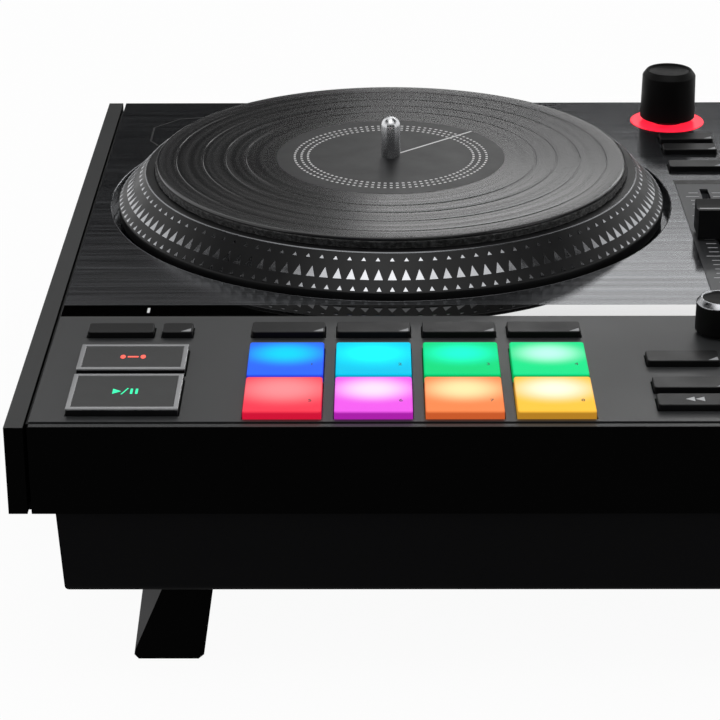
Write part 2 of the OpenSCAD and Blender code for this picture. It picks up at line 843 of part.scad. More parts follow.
module eq_knob(n, row) {
    p = [channel_x[n], eq_y[row]];
    color(key_black) {
        on_top(p[0], p[1], eq_low) {
            cylinder(r = eq_d / 2, h = 4);
            cylinder(r1 = eq_d / 2 - 1, r2 = eq_d / 2 - 2, h = eq_rise - eq_low);
        }
        on_top(p[0] - 0.6, p[1], eq_low + 3) cube([1.2, eq_d / 2 - 0.4, eq_rise - eq_low - 3]);
        knob_shaft(p, eq_low);
    }
}

// Legs

module leg(right, back) {
    foot_x = leg_in - leg_splay;
    bevel = 1.6;
    slope = leg_splay / hinge_z;
    color(gloss_black) to_corner(right, back) {
        from_table(0, leg_setback + leg_t, 0) rotate([90, 0, 0]) linear_extrude(leg_t) polygon([
            [leg_in, hinge_z], [foot_x + slope * bevel, bevel], [foot_x + bevel, 0],
            [foot_x + leg_w - bevel, 0], [foot_x + leg_w + slope * bevel, bevel], [leg_in + leg_w, hinge_z]
        ]);
        from_table(foot_x - leg_side_gap / 2, leg_setback + leg_t / 2, hinge_z) rotate([0, 90, 0])
            cylinder(r = leg_t / 2, h = leg_splay + leg_w + leg_side_gap);
        leg_pin(leg_pin_r, leg_pin_in);
    }
}

base_tray();
deck_plate();
pad_plate();
guide_strip();
side_cheeks();
front_panel();
rear_panel();
fader_plates();
light_lenses();
platter_motors();
circuit_boards();
potentiometers();
key_switches();
sockets();
case_screws();
tray_feet();
platter(false);  // platter_left
slipmat(false);  // slipmat_left
record(false);  // record_left
spindle(false);  // spindle_left
platter(true);  // platter_right
slipmat(true);  // slipmat_right
record(true);  // record_right
spindle(true);  // spindle_right
fader(faders[0], cap_w);  // tempo_fader_left
fader(faders[1], cap_w);  // tempo_fader_right
fader(faders[2], mixer_cap_w);  // channel_fader_1
fader(faders[3], mixer_cap_w);  // channel_fader_2
fader(faders[4], mixer_cap_w);  // crossfader
browse_knob(0);  // browse_knob_left
browse_knob(deck_pitch);  // browse_knob_right
loop_knob(0);  // loop_knob_left
loop_knob(deck_pitch);  // loop_knob_right
leg(false, false);  // leg_front_left
leg(true, false);  // leg_front_right
leg(false, true);  // leg_back_left
leg(true, true);  // leg_back_right
pad_key(1);  // pad_1
pad_key(2);  // pad_2
pad_key(3);  // pad_3
pad_key(4);  // pad_4
pad_key(5);  // pad_5
pad_key(6);  // pad_6
pad_key(7);  // pad_7
pad_key(8);  // pad_8
keys([play_key], key_black, 0.8);  // play_key_left
keys([cue_key], key_black, 0.8);  // cue_key_left
keys(row_keys, key_black);  // row_keys_left
keys(side_keys, key_black);  // side_keys_left
keys(browse_keys, key_black);  // browse_keys_left
pad_mat_right();
keys([play_key, cue_key], key_black, 0.8, deck_pitch);  // transport_keys_right
keys(small_keys, key_black, 1.2, deck_pitch);  // small_keys_right
keys(mixer_keys_list, key_black);  // mixer_keys
eq_knob(0, 2);  // high_knob_1
eq_knob(0, 1);  // mid_knob_1
eq_knob(0, 0);  // low_knob_1
eq_knob(1, 2);  // high_knob_2
eq_knob(1, 1);  // mid_knob_2
eq_knob(1, 0);  // low_knob_2
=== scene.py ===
import math
import random
from contextlib import contextmanager

import bmesh
import bpy
from bpy.props import FloatProperty, FloatVectorProperty, IntProperty, PointerProperty
from mathutils import Matrix, Vector


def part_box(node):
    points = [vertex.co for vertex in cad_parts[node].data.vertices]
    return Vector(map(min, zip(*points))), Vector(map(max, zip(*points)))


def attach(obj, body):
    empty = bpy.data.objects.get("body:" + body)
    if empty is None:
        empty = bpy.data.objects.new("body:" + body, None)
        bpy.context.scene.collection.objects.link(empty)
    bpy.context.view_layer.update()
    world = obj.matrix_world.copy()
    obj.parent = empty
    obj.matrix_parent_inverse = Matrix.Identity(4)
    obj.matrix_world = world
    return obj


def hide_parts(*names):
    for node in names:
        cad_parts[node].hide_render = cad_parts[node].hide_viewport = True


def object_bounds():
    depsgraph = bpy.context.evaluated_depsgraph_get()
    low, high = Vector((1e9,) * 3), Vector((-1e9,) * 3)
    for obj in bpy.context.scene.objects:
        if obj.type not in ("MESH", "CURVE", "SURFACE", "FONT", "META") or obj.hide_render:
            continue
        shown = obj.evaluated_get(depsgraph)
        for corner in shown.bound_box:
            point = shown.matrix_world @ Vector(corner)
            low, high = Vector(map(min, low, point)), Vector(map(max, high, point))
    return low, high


bl_info = {
    "name": "Two-deck controller looks",
    "version": (1, 0, 0),
    "blender": (4, 5, 0),
    "location": "3D View > Sidebar > Controller",
    "description": "Finishes and detail pieces of a two-deck controller, built round its packed frame",
    "category": "Object",
}

MM = 0.001
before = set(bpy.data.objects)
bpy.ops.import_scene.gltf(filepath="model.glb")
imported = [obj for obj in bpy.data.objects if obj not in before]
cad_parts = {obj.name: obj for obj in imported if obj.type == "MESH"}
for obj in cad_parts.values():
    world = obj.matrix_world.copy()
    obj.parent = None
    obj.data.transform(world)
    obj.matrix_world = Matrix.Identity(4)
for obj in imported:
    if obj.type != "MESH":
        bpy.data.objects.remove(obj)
CAD_LOW, CAD_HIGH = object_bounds()
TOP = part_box("deck_plate")[1].z


def spot(x, y, z=0.0):
    """A point given in mm from the left end, from the front face and above the plates, in metres."""
    return Vector((CAD_LOW.x + x * MM, CAD_LOW.y + y * MM, TOP + z * MM))


def middle(node):
    low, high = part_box(node)
    return (low + high) / 2


DECK_PITCH = middle("platter_right").x - middle("platter_left").x
DECKS = (("left", 0.0), ("right", DECK_PITCH))
SPINDLE_RADIUS = 3.6
WHITE = (1, 1, 1, 1)
BLACK = (0, 0, 0, 1)
CAMERA_PLACE = (-0.20585, -0.82787, 0.40265)
CAMERA_YAW, CAMERA_PITCH, CAMERA_ROLL = -0.41, 23.45, -0.23


# Colour and material helpers

def linear(text):
    """An sRGB hex colour as linear red, green and blue."""
    parts = [int(text[i:i + 2], 16) / 255 for i in (1, 3, 5)]
    return tuple(p / 12.92 if p <= 0.04045 else ((p + 0.055) / 1.055) ** 2.4 for p in parts)


def paint(text):
    """An sRGB hex colour as a socket takes it."""
    return (*linear(text), 1.0)


def add(tree, kind, inputs=None, **settings):
    """Adds a node. Settings are its own; inputs are numbers, or the sockets that feed it."""
    node = tree.nodes.new("ShaderNode" + kind)
    for name, value in settings.items():
        setattr(node, name, value)
    for name, value in (inputs or {}).items():
        if isinstance(value, bpy.types.NodeSocket):
            tree.links.new(value, node.inputs[name])
        else:
            node.inputs[name].default_value = value
    return node


def surface(name, sockets):
    """A new material with one Principled shader, its node tree and the shader."""
    material = bpy.data.materials.new(name)
    material.use_nodes = True
    tree = material.node_tree
    tree.nodes.clear()
    shader = add(tree, "BsdfPrincipled", sockets)
    add(tree, "OutputMaterial", {"Surface": shader.outputs[0]})
    return material, tree, shader


def feed(tree, shader, **sources):
    """Links sockets to the shader's inputs, given by name with underscores for spaces."""
    for name, source in sources.items():
        tree.links.new(source, shader.inputs[name.replace("_", " ")])


def grain(tree, shader, size, height, rough, dark, light, cloud=0.06):
    """The fine grain of a moulded or coated face, size between bumps, over slow clouds of tone."""
    place = add(tree, "TexCoord").outputs["Object"]
    bumps = add(tree, "TexNoise", {"Vector": place, "Scale": 1 / size, "Detail": 2.0}).outputs[0]
    clouds = add(tree, "TexNoise", {"Vector": place, "Scale": 1 / cloud, "Detail": 3.0}).outputs[0]
    tone = add(tree, "Mix", {0: clouds, 6: paint(dark), 7: paint(light)}, data_type="RGBA")
    gloss = add(tree, "MapRange", {"Value": clouds, "From Min": 0.3, "From Max": 0.7,
                                   "To Min": rough[0], "To Max": rough[1]})
    relief = add(tree, "Bump", {"Height": bumps, "Strength": 0.35, "Distance": height})
    feed(tree, shader, Base_Color=tone.outputs[2], Roughness=gloss.outputs[0], Normal=relief.outputs[0])


def stock(make, *args, name=None):
    """One of the materials below, made the first time it is asked for."""
    name = name or make.__name__
    return bpy.data.materials.get(name) or make(name, *args)


# Materials

def brushed_black_aluminium(name):
    # Anodised sheet brushed from side to side: streaks along X, and highlights drawn out along Y.
    # Real brush lines are under 0.1 mm apart; they are drawn about 0.6 mm apart so that they show.
    material, tree, shader = surface(name, {"Metallic": 0.85, "Anisotropic": 0.45})
    place = add(tree, "TexCoord").outputs["Object"]
    fine = add(tree, "Mapping", {"Vector": place, "Scale": (22, 2300, 40)})
    broad = add(tree, "Mapping", {"Vector": place, "Scale": (5, 420, 20)})
    lines = add(tree, "TexNoise", {"Vector": fine.outputs[0], "Scale": 1.0, "Detail": 3.0}).outputs[0]
    bands = add(tree, "TexNoise", {"Vector": broad.outputs[0], "Scale": 1.0, "Detail": 2.0}).outputs[0]
    both = add(tree, "Math", {0: lines, 1: bands}, operation="MULTIPLY").outputs[0]
    share = add(tree, "MapRange", {"Value": both, "From Min": 0.12, "From Max": 0.42})
    tone = add(tree, "Mix", {0: share.outputs[0], 6: paint("#36373a"), 7: paint("#606265")},
               data_type="RGBA")
    gloss = add(tree, "MapRange", {"Value": lines, "From Min": 0.3, "From Max": 0.7,
                                   "To Min": 0.14, "To Max": 0.2})
    relief = add(tree, "Bump", {"Height": lines, "Strength": 0.1, "Distance": 0.00003})
    along_y = add(tree, "CombineXYZ", {"Y": 1.0})
    feed(tree, shader, Base_Color=tone.outputs[2], Roughness=gloss.outputs[0],
         Normal=relief.outputs[0], Tangent=along_y.outputs[0])
    return material


def powder_coated_steel(name):
    # Fine satin powder coat: an even dark grey with a grain of about 0.3 mm.
    material, tree, shader = surface(name, {"Specular IOR Level": 0.5})
    grain(tree, shader, 0.0003, 0.00002, (0.36, 0.44), "#242526", "#2c2d2e")
    return material


def cast_black_acrylic(name):
    # Polished cast acrylic: black and mirror smooth, with faint polishing haze.
    material, tree, shader = surface(name, {"IOR": 1.46, "Coat Weight": 0.1, "Coat Roughness": 0.02})
    grain(tree, shader, 0.004, 0.000002, (0.015, 0.04), "#030303", "#050505")
    return material


def matt_black_abs(name):
    # Moulded ABS, spark textured at about 0.4 mm: nearly black, with very little shine.
    material, tree, shader = surface(name, {"Specular IOR Level": 0.015})
    grain(tree, shader, 0.0004, 0.00003, (0.6, 0.75), "#020202", "#040404")
    return material


def textured_tray_abs(name):
    # The same ABS with a coarser bead texture, and a shade lighter in colour.
    material, tree, shader = surface(name, {"Specular IOR Level": 0.03})
    grain(tree, shader, 0.0007, 0.00006, (0.6, 0.75), "#070708", "#0d0d0e")
    return material


def satin_anodised_aluminium(name):
    # Extruded and bead-blasted rail, anodised dark grey: a soft even sheen.
    material, tree, shader = surface(name, {"Specular IOR Level": 0.45})
    grain(tree, shader, 0.0003, 0.00002, (0.38, 0.48), "#161717", "#1f2021")
    return material


def moulded_platter_abs(name):
    # Satin charcoal ABS, a little lighter where the mould was polished.
    material, tree, shader = surface(name, {"Specular IOR Level": 0.25})
    grain(tree, shader, 0.0005, 0.00002, (0.34, 0.44), "#0c0c0d", "#131314", 0.02)
    return material


def hot_foil_silver(name):
    # Metallised foil on small raised facets, very slightly uneven from the stamp.
    material, tree, shader = surface(name, {"Metallic": 1.0})
    grain(tree, shader, 0.0012, 0.00001, (0.16, 0.26), "#98999c", "#babbbe", 0.004)
    return material


def wool_felt(name):
    # Pressed wool felt: no gloss, a soft sheen and fibres about 0.3 mm apart.
    material, tree, shader = surface(name, {"Specular IOR Level": 0.1, "Sheen Weight": 0.35,
                                            "Sheen Roughness": 0.5})
    place = add(tree, "TexCoord").outputs["Object"]
    fibres = add(tree, "TexNoise", {"Vector": place, "Scale": 3200, "Detail": 4.0,
                                    "Roughness": 0.75}).outputs[0]
    tufts = add(tree, "TexNoise", {"Vector": place, "Scale": 700, "Detail": 2.0}).outputs[0]
    mixed = add(tree, "Math", {0: fibres, 1: tufts}, operation="MULTIPLY").outputs[0]
    share = add(tree, "MapRange", {"Value": mixed, "From Min": 0.2, "From Max": 0.42})
    tone = add(tree, "Mix", {0: share.outputs[0], 6: paint("#060606"), 7: paint("#3a3a3b")},
               data_type="RGBA")
    relief = add(tree, "Bump", {"Height": mixed, "Strength": 0.9, "Distance": 0.0004})
    rough = add(tree, "MapRange", {"Value": fibres, "To Min": 0.85, "To Max": 1.0})
    feed(tree, shader, Base_Color=tone.outputs[2], Normal=relief.outputs[0],
         Roughness=rough.outputs[0])
    return material


def from_centre(tree, centre):
    """Object coordinates about a deck's centre, and the distance from it."""
    place = add(tree, "TexCoord").outputs["Object"]
    about = add(tree, "VectorMath", {0: place, 1: centre}, operation="SUBTRACT").outputs[0]
    flat = add(tree, "VectorMath", {0: about, 1: (1, 1, 0)}, operation="MULTIPLY").outputs[0]
    distance = add(tree, "VectorMath", {0: flat}, operation="LENGTH").outputs["Value"]
    return flat, distance


def pressed_vinyl(name, centre):
    # Pressed PVC: black, glossy across the groove and soft along it, so highlights fan out.
    # Real grooves are 0.1 mm apart; they are drawn about 2 mm apart so that they show.
    material, tree, shader = surface(name, {"IOR": 1.54, "Anisotropic": 0.4})
    flat, distance = from_centre(tree, centre)
    rings = add(tree, "TexNoise", {"W": distance, "Scale": 450.0, "Detail": 0.0},
                noise_dimensions="1D")
    tracks = add(tree, "TexNoise", {"W": distance, "Scale": 160.0, "Detail": 1.0},
                 noise_dimensions="1D").outputs[0]
    tone = add(tree, "Mix", {0: tracks, 6: paint("#161617"), 7: paint("#1e1e1f")}, data_type="RGBA")
    gloss = add(tree, "MapRange", {"Value": rings.outputs[0], "From Min": 0.3, "From Max": 0.7,
                                   "To Min": 0.2, "To Max": 0.26})
    relief = add(tree, "Bump", {"Height": rings.outputs[0], "Strength": 0.008, "Distance": 0.00003})
    feed(tree, shader, Base_Color=tone.outputs[2], Roughness=gloss.outputs[0],
         Normal=relief.outputs[0], Tangent=flat)
    return material


def coated_label_paper(name):
    # Coated paper pressed into the record: grey, smooth, with paper fibre of about 0.5 mm.
    material, tree, shader = surface(name, {"Specular IOR Level": 0.4})
    grain(tree, shader, 0.0005, 0.00001, (0.36, 0.44), "#19191a", "#1f1f20", 0.01)
    return material


def chrome_plate(name):
    # Bright chrome on turned steel: marks run round it, so what it mirrors is drawn out upwards.
    material, tree, shader = surface(name, {"Metallic": 1.0, "Anisotropic": 0.9})
    grain(tree, shader, 0.0015, 0.0000002, (0.2, 0.24), "#d2d3d6", "#e4e5e7", 0.01)
    feed(tree, shader, Tangent=add(tree, "CombineXYZ", {"Z": 1.0}).outputs[0])
    return material


def screen_ink(name, dark, light):
    # Screen-printed ink, thin and slightly uneven.
    material, tree, shader = surface(name, {"Specular IOR Level": 0.4})
    grain(tree, shader, 0.0004, 0.000005, (0.4, 0.55), dark, light, 0.003)
    return material


def lit_silicone(name, centre, half, body, glow, edge, strength, spread):
    # Translucent silicone over a lamp: brightest over the lamp, deeper in colour at the rim.
    # Its three tones are linear. Centre is the lamp's place; half is how far the light reaches.
    material, tree, shader = surface(name, {"Specular IOR Level": 0.04})
    place = add(tree, "TexCoord").outputs["Object"]
    about = add(tree, "VectorMath", {0: place, 1: centre}, operation="SUBTRACT").outputs[0]
    shape = add(tree, "VectorMath", {0: about, 1: (0.66 / half.x, 1 / half.y, 0)}, operation="MULTIPLY")
    distance = add(tree, "VectorMath", {0: shape.outputs[0]}, operation="LENGTH").outputs["Value"]
    lamp = add(tree, "MapRange", {"Value": distance, "From Min": 0.0, "From Max": spread,
                                  "To Min": 1.0, "To Max": 0.0}, interpolation_type="SMOOTHERSTEP")
    height = add(tree, "SeparateXYZ", {0: about}).outputs["Z"]
    low = add(tree, "MapRange", {"Value": height, "From Min": half.z * 0.5, "From Max": half.z,
                                 "To Min": 1.0, "To Max": 0.0})
    speckle = add(tree, "TexNoise", {"Vector": place, "Scale": 2500, "Detail": 2.0}).outputs[0]
    lit = add(tree, "Mix", {0: lamp.outputs[0], 6: body, 7: glow}, data_type="RGBA")
    whole = add(tree, "Mix", {0: low.outputs[0], 6: lit.outputs[2], 7: edge}, data_type="RGBA")
    rough = add(tree, "MapRange", {"Value": speckle, "To Min": 0.4, "To Max": 0.55})
    shader.inputs["Emission Strength"].default_value = strength
    unlit = add(tree, "Mix", {0: 0.85, 6: whole.outputs[2], 7: paint("#0a0a0a")}, data_type="RGBA")
    feed(tree, shader, Base_Color=unlit.outputs[2], Emission_Color=whole.outputs[2],
         Roughness=rough.outputs[0])
    return material


def moulded_key_pc(name):
    # Moulded polycarbonate, satin top: black with a crisp highlight on its edges.
    material, tree, shader = surface(name, {"Specular IOR Level": 0.17})
    grain(tree, shader, 0.0003, 0.00001, (0.3, 0.4), "#0b0b0c", "#111112", 0.01)
    return material


def clear_acrylic(name):
    # Clear acrylic cover: see-through, with bright edges where it catches the light.
    material, tree, shader = surface(name, {"IOR": 1.49, "Transmission Weight": 0.45})
    grain(tree, shader, 0.002, 0.000002, (0.08, 0.16), "#b4b5b7", "#cccdcf")
    return material


def key_core(name):
    # Dark film under the clear cover, faintly mottled.
    material, tree, shader = surface(name, {"Specular IOR Level": 0.5})
    grain(tree, shader, 0.0006, 0.00001, (0.3, 0.42), "#1a1b1b", "#242525", 0.01)
    return material


def glowing_plastic(name, deep, bright, strength):
    # Diffusing plastic lit from below, with a slightly uneven glow. Its two tones are linear.
    material, tree, shader = surface(name, {"Emission Strength": strength, "Roughness": 0.35})
    place = add(tree, "TexCoord").outputs["Object"]
    uneven = add(tree, "TexNoise", {"Vector": place, "Scale": 180, "Detail": 2.0}).outputs[0]
    tone = add(tree, "Mix", {0: uneven, 6: deep, 7: bright}, data_type="RGBA")
    shader.inputs["Base Color"].default_value = deep
    feed(tree, shader, Emission_Color=tone.outputs[2])
    return material


def soft_touch_knob(name):
    # Rubber-feel lacquer over ABS: deep black, with hardly any shine.
    material, tree, shader = surface(name, {"Specular IOR Level": 0.12})
    grain(tree, shader, 0.0003, 0.00001, (0.42, 0.55), "#060606", "#0b0b0b", 0.01)
    return material


def turned_aluminium(name):
    # Diamond-turned aluminium chamfer with fine circular tool marks.
    material, tree, shader = surface(name, {"Metallic": 1.0, "Anisotropic": 0.5})
    grain(tree, shader, 0.0004, 0.00001, (0.2, 0.32), "#8f9093", "#b9babd", 0.002)
    return material


def printed_fader_plate(name):
    # Grey anodised insert, with a brushed streak along its slot.
    # Real streaks are under 0.1 mm wide; they are drawn about 0.7 mm wide so that they show.
    material, tree, shader = surface(name, {"Metallic": 0.5})
    place = add(tree, "TexCoord").outputs["Object"]
    stretch = add(tree, "Mapping", {"Vector": place, "Scale": (1500, 20, 20)})
    lines = add(tree, "TexNoise", {"Vector": stretch.outputs[0], "Scale": 1.0, "Detail": 2.0}).outputs[0]
    tone = add(tree, "Mix", {0: lines, 6: paint("#2b2c2e"), 7: paint("#434446")}, data_type="RGBA")
    rough = add(tree, "MapRange", {"Value": lines, "To Min": 0.32, "To Max": 0.45})
    feed(tree, shader, Base_Color=tone.outputs[2], Roughness=rough.outputs[0])
    return material


def bare_metal(name, dark, light, rough, size=0.0005):
    # Bare or plated metal, with small tone changes from handling.
    material, tree, shader = surface(name, {"Metallic": 1.0})
    grain(tree, shader, size, 0.00001, rough, dark, light, 0.008)
    return material


def plain_plastic(name, dark, light, rough):
    # Moulded engineering plastic, lightly grained.
    material, tree, shader = surface(name, {})
    grain(tree, shader, 0.0004, 0.00001, rough, dark, light, 0.01)
    return material


def polished_bead(name):
    # Bright bare metal: a real bright cut edge round the sheet's well, and on the moulded platter's bead a
    # painted highlight for the thin line that catches the light.
    return bare_metal(name, "#6f7073", "#8a8b8e", (0.2, 0.3))


def zinc_steel(name):
    # Zinc-plated steel: pale grey with a soft, slightly blue shine.
    return bare_metal(name, "#8b8d90", "#a9abad", (0.3, 0.45))


def nickel_collar(name):
    # Nickel-plated brass: bright and faintly warm.
    return bare_metal(name, "#a5a6a3", "#c4c5c2", (0.15, 0.25))


def pressed_motor_steel(name):
    # Deep-drawn motor can, dulled by oil.
    return bare_metal(name, "#77797c", "#9a9c9f", (0.3, 0.5))


def tinned_pot_case(name):
    # Tinned steel cover of a potentiometer, with the odd finger mark.
    return bare_metal(name, "#9b9da0", "#b8babd", (0.25, 0.4))


def satin_facet(name):
    # The legs' black ABS, painted dark grey for the corner facet: painted light where the facet catches
    # light from above.
    return plain_plastic(name, "#29292a", "#363637", (0.4, 0.5))


def smoked_window(name):
    # Smoked acrylic seen from above: nearly black and glossy.
    return plain_plastic(name, "#08080a", "#0c0c0e", (0.08, 0.14))


def glass_filled_nylon(name):
    # Moulded nylon with glass in it: black and a little dull.
    return plain_plastic(name, "#0d0d0e", "#161617", (0.35, 0.5))


def switch_nylon(name):
    # Dark grey nylon of small switches.
    return plain_plastic(name, "#1a1a1c", "#262628", (0.4, 0.55))


def foot_rubber(name):
    # Moulded rubber: black and matt.
    return plain_plastic(name, "#101010", "#181818", (0.75, 0.9))


def white_insert(name):
    # White ABS ring of a phono socket.
    return plain_plastic(name, "#c2c2c0", "#d6d6d4", (0.35, 0.45))


def red_insert(name):
    # Red ABS ring of a phono socket.
    return plain_plastic(name, "#a01414", "#b81c1c", (0.35, 0.45))


def green_solder_mask(name):
    # Lacquer over copper: dark green with a low shine.
    return plain_plastic(name, "#0d3a24", "#15502f", (0.3, 0.45))


def white_ink(name):
    # Screen ink at full strength.
    return screen_ink(name, "#c9c9ca", "#efefef")


def pale_ink(name):
    # White ink thinned to a pale grey.
    return screen_ink(name, "#a9aaac", "#c4c5c7")


def grey_ink(name):
    # Mid grey ink of the marks on the keys.
    return screen_ink(name, "#8a8b8d", "#a4a5a7")


def dark_ink(name):
    # Charcoal ink that shows on a lit pad.
    return screen_ink(name, "#26262a", "#38383c")


def black_ink(name):
    # Black ink, a shade darker than the sheet it is on.
    return screen_ink(name, "#070707", "#0d0d0d")


# Modelling helpers

def deselect():
    for each in bpy.context.selected_objects:
        each.select_set(False)


def only(obj):
    """Selects one object and makes it the active one."""
    deselect()
    obj.select_set(True)
    bpy.context.view_layer.objects.active = obj


def added(name):
    """Names the new primitive and puts its place, turn and size into its mesh."""
    obj = bpy.context.object
    only(obj)
    obj.name = name
    obj.data.name = name
    bpy.ops.object.transform_apply(location=True, rotation=True, scale=True)
    return obj


@contextmanager
def shaping(obj):
    """Edit mode on one object."""
    only(obj)
    bpy.ops.object.mode_set(mode="EDIT")
    yield
    bpy.ops.object.mode_set(mode="OBJECT")


def pick(obj, kind, test):
    """In edit mode, selects the verts, edges or faces that pass the test, and nothing else."""
    mode = {"verts": "VERT", "edges": "EDGE", "faces": "FACE"}[kind]
    bpy.ops.mesh.select_mode(type=mode)
    bpy.ops.mesh.select_all(action="DESELECT")
    mesh = bmesh.from_edit_mesh(obj.data)
    for each in getattr(mesh, kind):
        if test(each):
            each.select_set(True)
    mesh.select_flush_mode()
    bmesh.update_edit_mesh(obj.data)


def upright(edge):
    a, b = (v.co for v in edge.verts)
    return abs(a.x - b.x) < 1e-7 and abs(a.y - b.y) < 1e-7


def at_height(z, reach=1e-6):
    """A test for edges that lie at one height."""
    return lambda edge: all(abs(v.co.z - z) < reach for v in edge.verts)


def block(name, low, high):
    low, high = Vector(low), Vector(high)
    deselect()
    bpy.ops.mesh.primitive_cube_add(size=1, location=(low + high) / 2, scale=high - low)
    return added(name)


def cap(name, low, high, corner, edge, steps=3):
    """A block with rounded upright corners and a rounded top edge."""
    obj = block(name, low, high)
    top = high[2]
    with shaping(obj):
        pick(obj, "edges", upright)
        bpy.ops.mesh.bevel(offset=corner, segments=4)
        pick(obj, "edges", at_height(top))
        bpy.ops.mesh.bevel(offset=edge, segments=steps)
    return obj


def turned(name, centre, outline, sides=96, ring=False):
    """A turned piece: outline is (radius, height over the plates) in mm, from the bottom up.
    A ring's outline goes round its section and is closed; any other piece has flat ends."""
    (radius, height), rest = outline[0], outline[1:]
    deselect()
    at = Vector((centre.x, centre.y, TOP + height * MM))
    bpy.ops.mesh.primitive_circle_add(vertices=sides, radius=radius * MM, location=at)
    obj = added(name)
    start = len(obj.data.vertices)
    with shaping(obj):
        bpy.ops.mesh.select_mode(type="EDGE")
        bpy.ops.mesh.select_all(action="SELECT")
        if not ring:
            bpy.ops.mesh.edge_face_add()
            pick(obj, "edges", lambda e: True)
        for r, z in rest:
            bpy.ops.mesh.extrude_edges_move(TRANSFORM_OT_translate={"value": (0, 0, (z - height) * MM)})
            at.z = TOP + z * MM
            if r != radius:
                ratio = r / radius
                bpy.ops.transform.resize(value=(ratio, ratio, 1), center_override=at)
            radius, height = r, z
        if ring:
            bpy.ops.mesh.select_mode(type="EDGE")
            pick(obj, "edges", lambda e: e.is_boundary)
            bpy.ops.mesh.bridge_edge_loops()
        else:
            bpy.ops.mesh.edge_face_add()
        bpy.ops.mesh.select_all(action="SELECT")
        bpy.ops.mesh.normals_make_consistent(inside=False)
    assert len(obj.data.vertices) >= start * len(outline)
    return obj


def wheel_of(obj, centre, count):
    """Copies a modelled shape round an upright axis, count in all, in the same mesh."""
    with shaping(obj):
        bpy.ops.mesh.select_all(action="SELECT")
        bpy.ops.mesh.spin(steps=count - 1, dupli=True, angle=2 * math.pi * (count - 1) / count,
                          center=centre, axis=(0, 0, 1))
    return obj


def copy_of(obj, name, by=Vector((0, 0, 0))):
    """A copy with its own mesh, shifted."""
    twin = obj.copy()
    twin.data = obj.data.copy()
    twin.name = name
    twin.data.transform(Matrix.Translation(by))
    bpy.context.scene.collection.objects.link(twin)
    return twin


def joined(objects, name):
    only(objects[0])
    for each in objects[1:]:
        each.select_set(True)
    bpy.ops.object.join()
    obj = bpy.context.object
    obj.name = name
    return obj


def break_edges(obj, width, angle):
    """Rounds every edge sharper than angle degrees, by width in metres."""
    rounding = obj.modifiers.new("edges", "BEVEL")
    rounding.width = width
    rounding.segments = 2
    rounding.limit_method = "ANGLE"
    rounding.angle_limit = math.radians(angle)
    only(obj)
    bpy.ops.object.modifier_apply(modifier=rounding.name)


def from_cad(node, name, edge):
    """A copy of a CAD node with its doubles merged and its sharp edges broken by edge metres."""
    obj = copy_of(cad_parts[node], name)
    for key in list(obj.keys()):
        del obj[key]
    obj.parent = None
    obj.data.materials.clear()
    with shaping(obj):
        bpy.ops.mesh.select_all(action="SELECT")
        bpy.ops.mesh.remove_doubles(threshold=2e-6)
        bpy.ops.mesh.customdata_custom_splitnormals_clear()
        bpy.ops.mesh.dissolve_limited(angle_limit=math.radians(0.8))
    if edge:
        break_edges(obj, edge, 35)
    return obj


def solids(node, above=None):
    """Boxes of a CAD node's separate solids, or of what stands higher than above."""
    mesh = bmesh.new()
    mesh.from_mesh(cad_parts[node].data)
    bmesh.ops.remove_doubles(mesh, verts=mesh.verts, dist=2e-6)
    seen, boxes = set(), []
    for start in mesh.verts:
        if start in seen:
            continue
        seen.add(start)
        queue, points = [start], []
        while queue:
            vert = queue.pop()
            if above is None or vert.co.z > above:
                points.append(vert.co.copy())
            for edge in vert.link_edges:
                other = edge.other_vert(vert)
                if other not in seen:
                    seen.add(other)
                    queue.append(other)
        if points:
            low = Vector([min(p[i] for p in points) for i in range(3)])
            high = Vector([max(p[i] for p in points) for i in range(3)])
            boxes.append((low, high))
    mesh.free()
    return sorted(boxes, key=lambda box: (round(box[0].y, 4), box[0].x))


def finish(obj, material, body, stands_for=(), angle=32):
    """Gives a piece its finish and its body, and hides the nodes it stands for."""
    only(obj)
    obj.data.materials.clear()
    obj.data.materials.append(material)
    bpy.ops.object.shade_smooth_by_angle(angle=math.radians(angle))
    if angle < 60:
        weighting = obj.modifiers.new("normals", "WEIGHTED_NORMAL")
        weighting.keep_sharp = True
        bpy.ops.object.modifier_apply(modifier=weighting.name)
    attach(obj, body)
    if stands_for:
        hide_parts(*stands_for)
    return obj


def refinish(node, material):
    """A better material on a CAD node whose shape is right."""
    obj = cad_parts[node]
    obj.data.materials.clear()
    obj.data.materials.append(material)


def numeral(name, text, centre, size, weight=0.0, depth=0.05):
    """A plain numeral lying flat, its middle at centre, its strokes thickened by weight mm."""
    deselect()
    bpy.ops.object.text_add(location=centre)
    obj = bpy.context.object
    obj.data.body = text
    obj.data.size = size * MM
    obj.data.extrude = depth * MM / 2
    obj.data.offset = weight * MM
    obj.data.align_x = "CENTER"
    obj.data.align_y = "CENTER"
    only(obj)
    bpy.ops.object.convert(target="MESH")
    return added(name)


def slab(name, points, low, high):
    """A flat print or sign: an outline of (x, y) points in metres, from low to high."""
    deselect()
    bpy.ops.mesh.primitive_circle_add(vertices=len(points), radius=0.01, fill_type="NGON")
    obj = added(name)
    for vert, (x, y) in zip(obj.data.vertices, points):
        vert.co = (x, y, low)
    with shaping(obj):
        bpy.ops.mesh.select_all(action="SELECT")
        bpy.ops.mesh.extrude_region_move(TRANSFORM_OT_translate={"value": (0, 0, high - low)})
        bpy.ops.mesh.select_all(action="SELECT")
        bpy.ops.mesh.normals_make_consistent(inside=False)
    return obj


def stroke(name, start, end, width, low, high):
    """A straight printed line from start to end, in the plane."""
    run = Vector((end[0] - start[0], end[1] - start[1], 0))
    side = Vector((-run.y, run.x, 0)).normalized() * width / 2
    corners = [Vector((*start[:2], 0)) - side, Vector((*end[:2], 0)) - side,
               Vector((*end[:2], 0)) + side, Vector((*start[:2], 0)) + side]
    return slab(name, [(c.x, c.y) for c in corners], low, high)


# Settings

